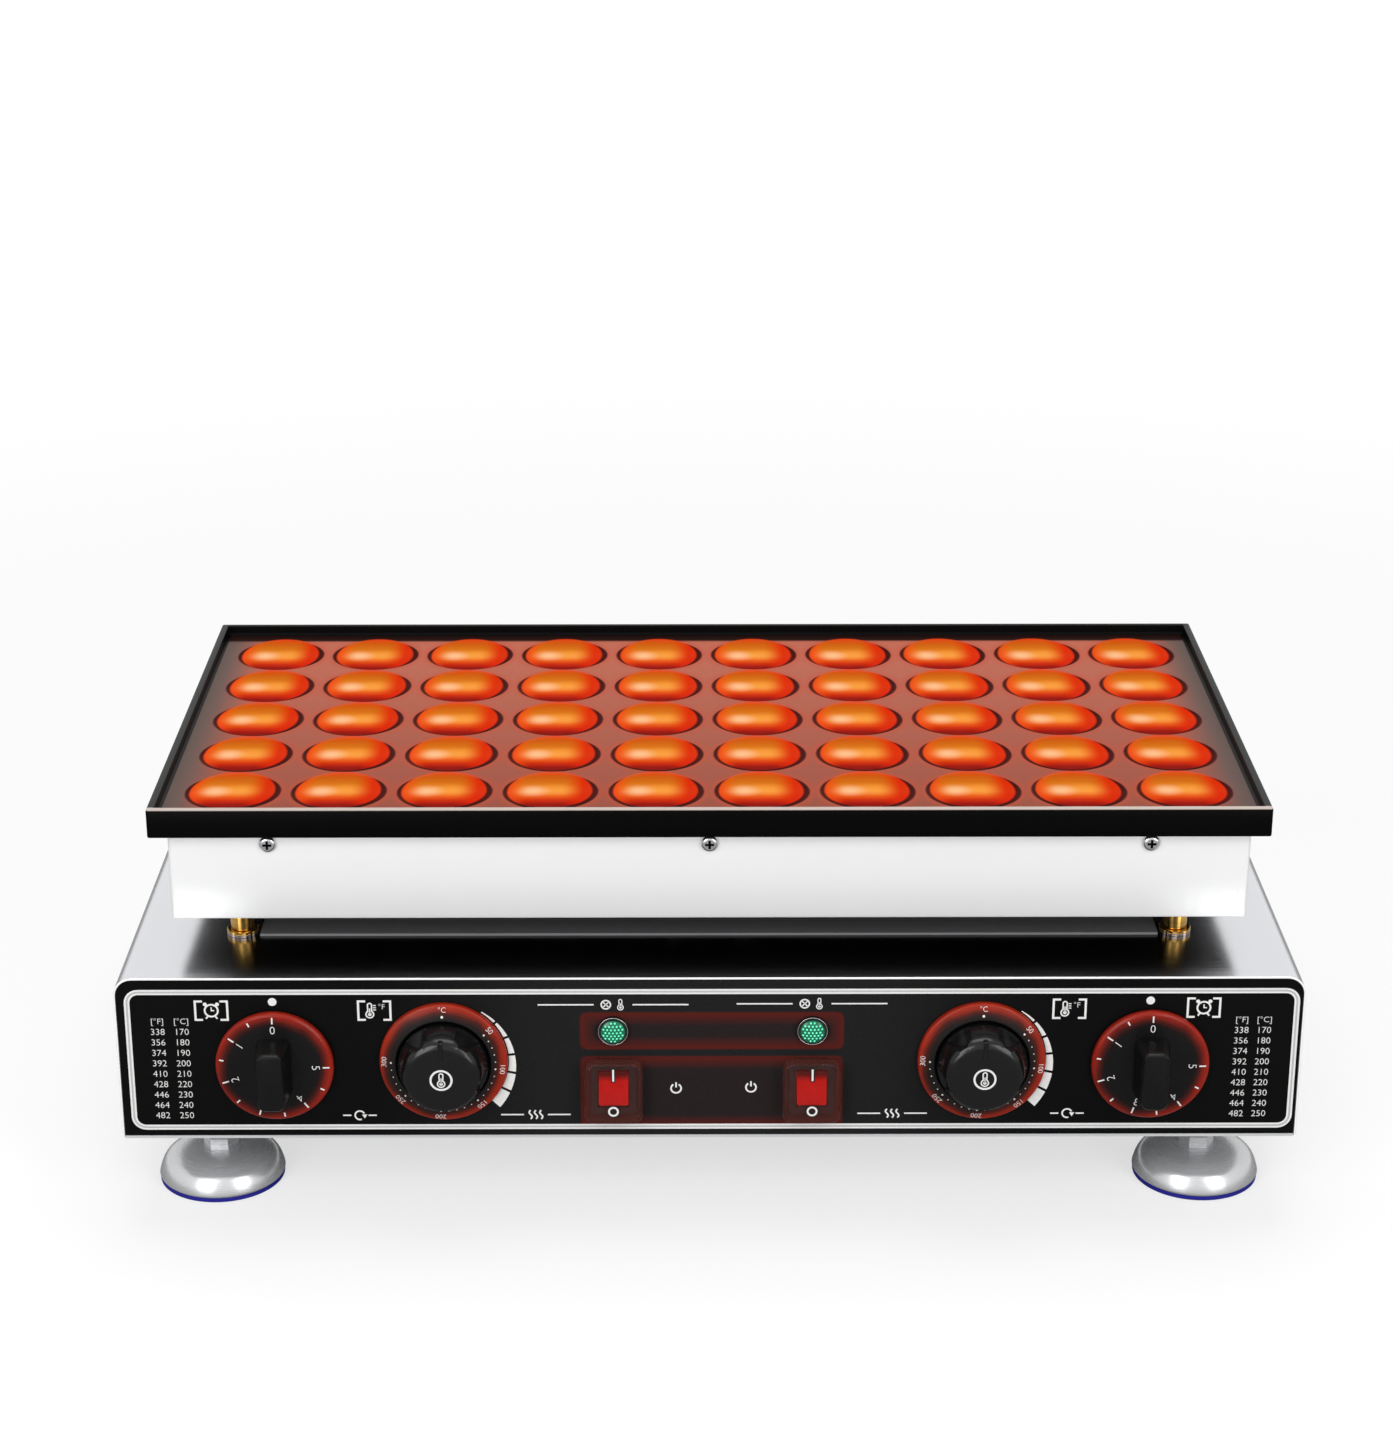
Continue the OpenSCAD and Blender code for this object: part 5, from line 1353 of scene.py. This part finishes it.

# Painted glow, highlights and shading on the non-stick coating: each cup is painted as a glowing egg, with a
# painted highlight on its upper left, red flanks and a darker red foot, in a dull red deck, brighter towards
# the back, whose painted glow fades to grey at both ends. The egg leans back from the cup, as it is seen from
# the camera's place.
GLOW_ANGLE = radians(21)
EYE_RISE = 496
GLOW_SHARE = 0.5
EGG_HALF = 0.91
EGG_UP = 1.16
EGG_DOWN = 1.0
EGG_LEFT = 0.015
EGG_EDGE = (1.02, 0.95)
ROW_BIAS = 0.034
EGG_SHADES = ((0.0, "#760400"), (0.1, "#9c0c00"), (0.21, "#cc2c00"), (0.32, "#e85f14"), (0.44, "#f2923a"),
              (0.55, "#e88a28"), (0.69, "#d07014"), (0.84, "#c85a0a"), (0.93, "#d64a06"), (1.0, "#e43804"))
HIGHLIGHT_LOBES = (((0.14, 0.04), (0.62, 0.44), "#f8aa48", 0.5), ((-0.36, 0.0), (0.46, 0.42), "#ffcc9c", 0.8))
FLANK_TURN = 0.3
FLANK_LEFT = 0.1
FLANK_REACH = (0.34, 0.84)
FLANK_RED = 0.95
FOOT_REACH = (-0.6, -1.0)
FOOT_RED = 0.75
COAT_GRAIN = 0.9
COAT = {"Strength": 0.12, "Distance": 0.06 * MM}
glow_coat, tree, shader = surface("painted_glow_nonstick",
                            {"Roughness": 0.5, "Specular IOR Level": 0.05, "Emission Strength": 1})
spot = add(tree, "TexCoord").node.outputs["Object"]
axes = add(tree, "SeparateXYZ", [spot]).node.outputs
offsets = []
for axis, start, pitch, count, bias in (("X", 0, CUP_PITCH[0], CUPS[0], 0),
                                        ("Y", field_y, CUP_PITCH[1], CUPS[1], ROW_BIAS)):
    first = start - pitch * (count - 1) / 2
    steps = add(tree, "Math", [axes[axis], 1 / (pitch * MM), -first / pitch], operation="MULTIPLY_ADD")
    number = add(tree, "Math", [steps, bias], operation="SUBTRACT")
    number = add(tree, "Math", [number], operation="ROUND")
    nearest = add(tree, "Clamp", [number, 0, count - 1])
    off = add(tree, "Math", [steps, nearest], operation="SUBTRACT")
    offsets.append(add(tree, "Math", [off, pitch / CUP_R], operation="MULTIPLY"))
across, along = offsets
reach = add(tree, "CombineXYZ", [across, along])
radius = add(tree, "VectorMath", [reach], operation="LENGTH")
lean = 1 / (CUP_R * tan(GLOW_ANGLE))
sunk = add(tree, "Math", [axes["Z"], lean / MM, -deck_z * lean], operation="MULTIPLY_ADD")
upward = add(tree, "Math", [along, sunk], operation="ADD")
sideways = add(tree, "Math", [axes["X"], tan(GLOW_ANGLE) / (EYE_RISE * MM)], operation="MULTIPLY")
across = add(tree, "Math", [across, EGG_LEFT], operation="ADD")
across = add(tree, "Math", [sunk, sideways, across], operation="MULTIPLY_ADD")
spread = add(tree, "CombineXYZ", [across, upward])

shade = add(tree, "ValToRGB", [add(tree, "MapRange", [upward, -EGG_DOWN, EGG_UP])])
lay_stops(shade, EGG_SHADES)
# Painted highlights: pale lobes on each egg.
for middle, half, colour, strength in HIGHLIGHT_LOBES:
    lobe = add(tree, "VectorMath", [spread, (*middle, 0)], operation="SUBTRACT")
    lobe = add(tree, "VectorMath", [lobe, (*half, 1)], operation="DIVIDE")
    lobe = add(tree, "VectorMath", [lobe], operation="LENGTH")
    pale = add(tree, "MapRange", [lobe, 1, 0, 0, strength], **SMOOTH)
    shade = add(tree, "Mix", [pale, shade, tint(colour)], **COLOURS)
# Painted shading: red at the flanks and a darker red foot.
flank = add(tree, "MapRange", [across, -FLANK_TURN, FLANK_TURN])
flank = add(tree, "Mix", [flank, tint("#f0440a"), tint("#dc2600")], **COLOURS)
side_on = add(tree, "Math", [across, FLANK_LEFT], operation="ADD")
side_on = add(tree, "Math", [side_on], operation="ABSOLUTE")
red = add(tree, "MapRange", [side_on, *FLANK_REACH, 0, FLANK_RED], **SMOOTH)
shade = add(tree, "Mix", [red, shade, flank], **COLOURS)
below = add(tree, "MapRange", [upward, *FOOT_REACH, 0, FOOT_RED], **SMOOTH)
shade = add(tree, "Mix", [below, shade, tint("#8a1000")], **COLOURS)

# Round each egg its cup is painted dark red as shade, its front half has a dull painted glow, and the deck's
# painted glow is brighter where the cups almost touch. The deck has painted shade along the rear wall of the
# rim, and its painted glow fades to grey at both ends.
GLOW_FADE_X = (202, 225)
NEAR_CUP = (1.22, 1.02)
NEAR_GLOW = 0.5
COAT_MOTTLE = 0.25
WALL_SHADE = (10.5, 8)
PAST_EGG = (1.02, 1.4)
AHEAD = (-0.3, -0.7)
CUP_EDGE = 0.995
ends = add(tree, "Math", [axes["X"]], operation="ABSOLUTE")
glow_fade = add(tree, "MapRange", [ends, GLOW_FADE_X[0] * MM, GLOW_FADE_X[1] * MM], **SMOOTH)
depth = add(tree, "MapRange", [axes["Y"], low.y * MM, high.y * MM])
near = add(tree, "MapRange", [radius, *NEAR_CUP, 0, NEAR_GLOW])
grain = add(tree, "TexNoise", {"Vector": spot, "Scale": 1 / (COAT_GRAIN * MM), "Detail": 3})
mottle = add(tree, "MapRange", [grain, *NOISE_SPAN, 0, COAT_MOTTLE])
shaded = add(tree, "MapRange", [axes["Y"], *[(high.y - RIM_T - before) * MM for before in WALL_SHADE]])
deck = tint("#944836")
for amount, colour in ((depth, "#c46c56"), (near, "#c8482a"), (glow_fade, "#5c5450"), (mottle, "#94523f"),
                       (shaded, "#1c0805")):
    deck = add(tree, "Mix", [amount, deck, tint(colour)], **COLOURS)
past = add(tree, "VectorMath", [spread], operation="LENGTH")
past = add(tree, "MapRange", [past, *PAST_EGG], **SMOOTH)
ahead = add(tree, "MapRange", [upward, *AHEAD])
floor_glow = add(tree, "Math", [past, ahead], operation="MULTIPLY")
hollow = add(tree, "Mix", [floor_glow, tint("#3e0603"), tint("#c03a0e")], **COLOURS)
out = add(tree, "MapRange", [radius, CUP_EDGE, 1 + LIP / CUP_R])
around = add(tree, "Mix", [out, hollow, deck], **COLOURS)
up = add(tree, "Math", [upward, 0], operation="MAXIMUM")
down = add(tree, "Math", [upward, 0], operation="MINIMUM")
down = add(tree, "Math", [down, EGG_DOWN], operation="DIVIDE")
tall = add(tree, "Math", [up, 1 / EGG_UP, down], operation="MULTIPLY_ADD")
wide = add(tree, "Math", [across, 1 / EGG_HALF], operation="MULTIPLY")
egg = add(tree, "CombineXYZ", [wide, tall])
egg = add(tree, "VectorMath", [egg], operation="LENGTH")
on_egg = add(tree, "MapRange", [egg, *EGG_EDGE], **SMOOTH)
shade = add(tree, "Mix", [on_egg, around, shade], **COLOURS)
half = add(tree, "VectorMath", [shade, GLOW_SHARE], operation="SCALE")
bump = add(tree, "Bump", {"Height": grain, **COAT})
fill(shader, {"Base Color": half, "Emission Color": half, "Normal": bump})

# Cold non-stick coating on the rim: satin black with the grain of sprayed enamel, with a painted grey
# reflection on top of the sides and a pale painted highlight along the top of the front.
TOP_SHEEN_DROP = (0.5, 0.1)
TOP_SHEEN_EDGE = 0.4
coat, tree, shader = surface("black_nonstick", {"Roughness": 0.36, "Specular IOR Level": 0.05})
spot = add(tree, "TexCoord").node.outputs["Object"]
axes = add(tree, "SeparateXYZ", [spot]).node.outputs
grain = add(tree, "TexNoise", {"Vector": spot, "Scale": 1 / (COAT_GRAIN * MM), "Detail": 3})
shade = add(tree, "Mix", [grain, tint("#010101"), tint("#080707")], **COLOURS)
on_top = add(tree, "MapRange", [axes["Z"], *[(high.z - drop) * MM for drop in TOP_SHEEN_DROP]])
ends = add(tree, "Math", [axes["X"]], operation="ABSOLUTE")
side_x, front_y = high.x - RIM_T, low.y + RIM_T
sides = add(tree, "MapRange", [ends, side_x * MM, (side_x + TOP_SHEEN_EDGE) * MM])
front = add(tree, "MapRange", [axes["Y"], front_y * MM, (front_y - TOP_SHEEN_EDGE) * MM])
# Painted reflection on the tops of the sides, and a painted highlight along the front.
for place, colour in ((sides, "#2e302f"), (front, "#c8bab2")):
    top_sheen = add(tree, "Math", [on_top, place], operation="MULTIPLY")
    shade = add(tree, "Mix", [top_sheen, shade, tint(colour)], **COLOURS)
fill(shader, {"Base Color": shade, "Normal": add(tree, "Bump", {"Height": grain, **COAT})})

ball_r = (CUP_R**2 + CUP_DEPTH**2) / (2 * CUP_DEPTH)
bowl_rings = [(CUP_R - LIP) * k / CUP_RINGS for k in range(CUP_RINGS + 1)]
bowl = [(r, ball_r - CUP_DEPTH - sqrt(ball_r**2 - r**2)) for r in bowl_rings]
lip = soften([bowl[-1], (CUP_R, 0), (CUP_R + LIP, 0)], 2 * LIP)
cell = bmesh.new()
lathe(cell, bowl[:-1] + lip, CUP_STEPS)
rim_ring = [v for v in cell.verts if hypot(v.co.x, v.co.y) > CUP_R + LIP - FIELD_WELD]
rim_ring.sort(key=lambda v: atan2(v.co.y, v.co.x) % (2 * pi))
half_x, half_y = CUP_PITCH[0] / 2, CUP_PITCH[1] / 2
square = []
for i in range(CUP_STEPS):
    a = 2 * pi * i / CUP_STEPS
    if i % (CUP_STEPS // 4) == CUP_STEPS // 8:
        x, y = half_x if cos(a) > 0 else -half_x, half_y if sin(a) > 0 else -half_y
    else:
        reach = min(half_x / max(abs(cos(a)), 1e-9), half_y / max(abs(sin(a)), 1e-9))
        x, y = reach * cos(a), reach * sin(a)
    square.append(cell.verts.new((x, y, 0)))
for i in range(CUP_STEPS):
    cell.faces.new((rim_ring[i - 1], rim_ring[i], square[i], square[i - 1]))
field = grow(cast(cell), cup_field, {"Columns": CUPS[0], "Rows": CUPS[1], "Pitch X": CUP_PITCH[0] * MM,
                                     "Pitch Y": CUP_PITCH[1] * MM, "Finish": glow_coat})
field.transform(Matrix.Translation((0, field_y, deck_z)) @ Matrix.Scale(1 / MM, 4))
plate = bmesh.new()
plate.from_mesh(field)
bmesh.ops.remove_doubles(plate, verts=plate.verts, dist=FIELD_WELD)
block_in = box_low.x - low.x + BLOCK_GAP
rim_z = box_high.z
rim = loft(plate, tiers("baking_plate", RIM_CORNER, RIM_LEAST_CORNER, (
    (block_in, low.z), (block_in, rim_z), (0.6, rim_z), (0.15, rim_z + 0.2), (0, rim_z + 0.7),
    (0, high.z - 0.7), (0.2, high.z - 0.2), (0.7, high.z), (RIM_T - 0.6, high.z),
    (RIM_T - 0.12, high.z - 0.12), (RIM_T, high.z - 0.6), (RIM_T, deck_z + 1.4),
    (RIM_T + 0.15, deck_z + 0.75), (RIM_T + 0.55, deck_z + 0.25), (RIM_T + 1.3, deck_z))), end=False)
for face in plate.faces:
    face.material_index = 0
for face in rim:
    face.material_index = 1
gap = [edge for edge in plate.edges if edge.is_boundary]
border = bmesh.ops.triangle_fill(plate, edges=gap, use_beauty=True)["geom"]
for face in border:
    if isinstance(face, bmesh.types.BMFace):
        face.material_index = 0
piece("cast_plate", cast(plate, glow_coat, coat), "chassis", "nonstick_casting", "baking_plate")

# The plate screws: bright pan heads through the box walls into the casting, three in front and three behind.
# They are the same screws as those of the covers.
BOX_SCREW_X = (-182.2, 0, 182.2)
BOX_SCREW_Z = 158.3
places = [((x, box_low.y, BOX_SCREW_Z), (pi / 2, 0, 0)) for x in BOX_SCREW_X]
places += [((x, box_high.y, BOX_SCREW_Z), (-pi / 2, 0, 0)) for x in BOX_SCREW_X]
piece("plate_screws", repeat(screw, places, screw_steel), "chassis", "screw_steel", "box_screws")
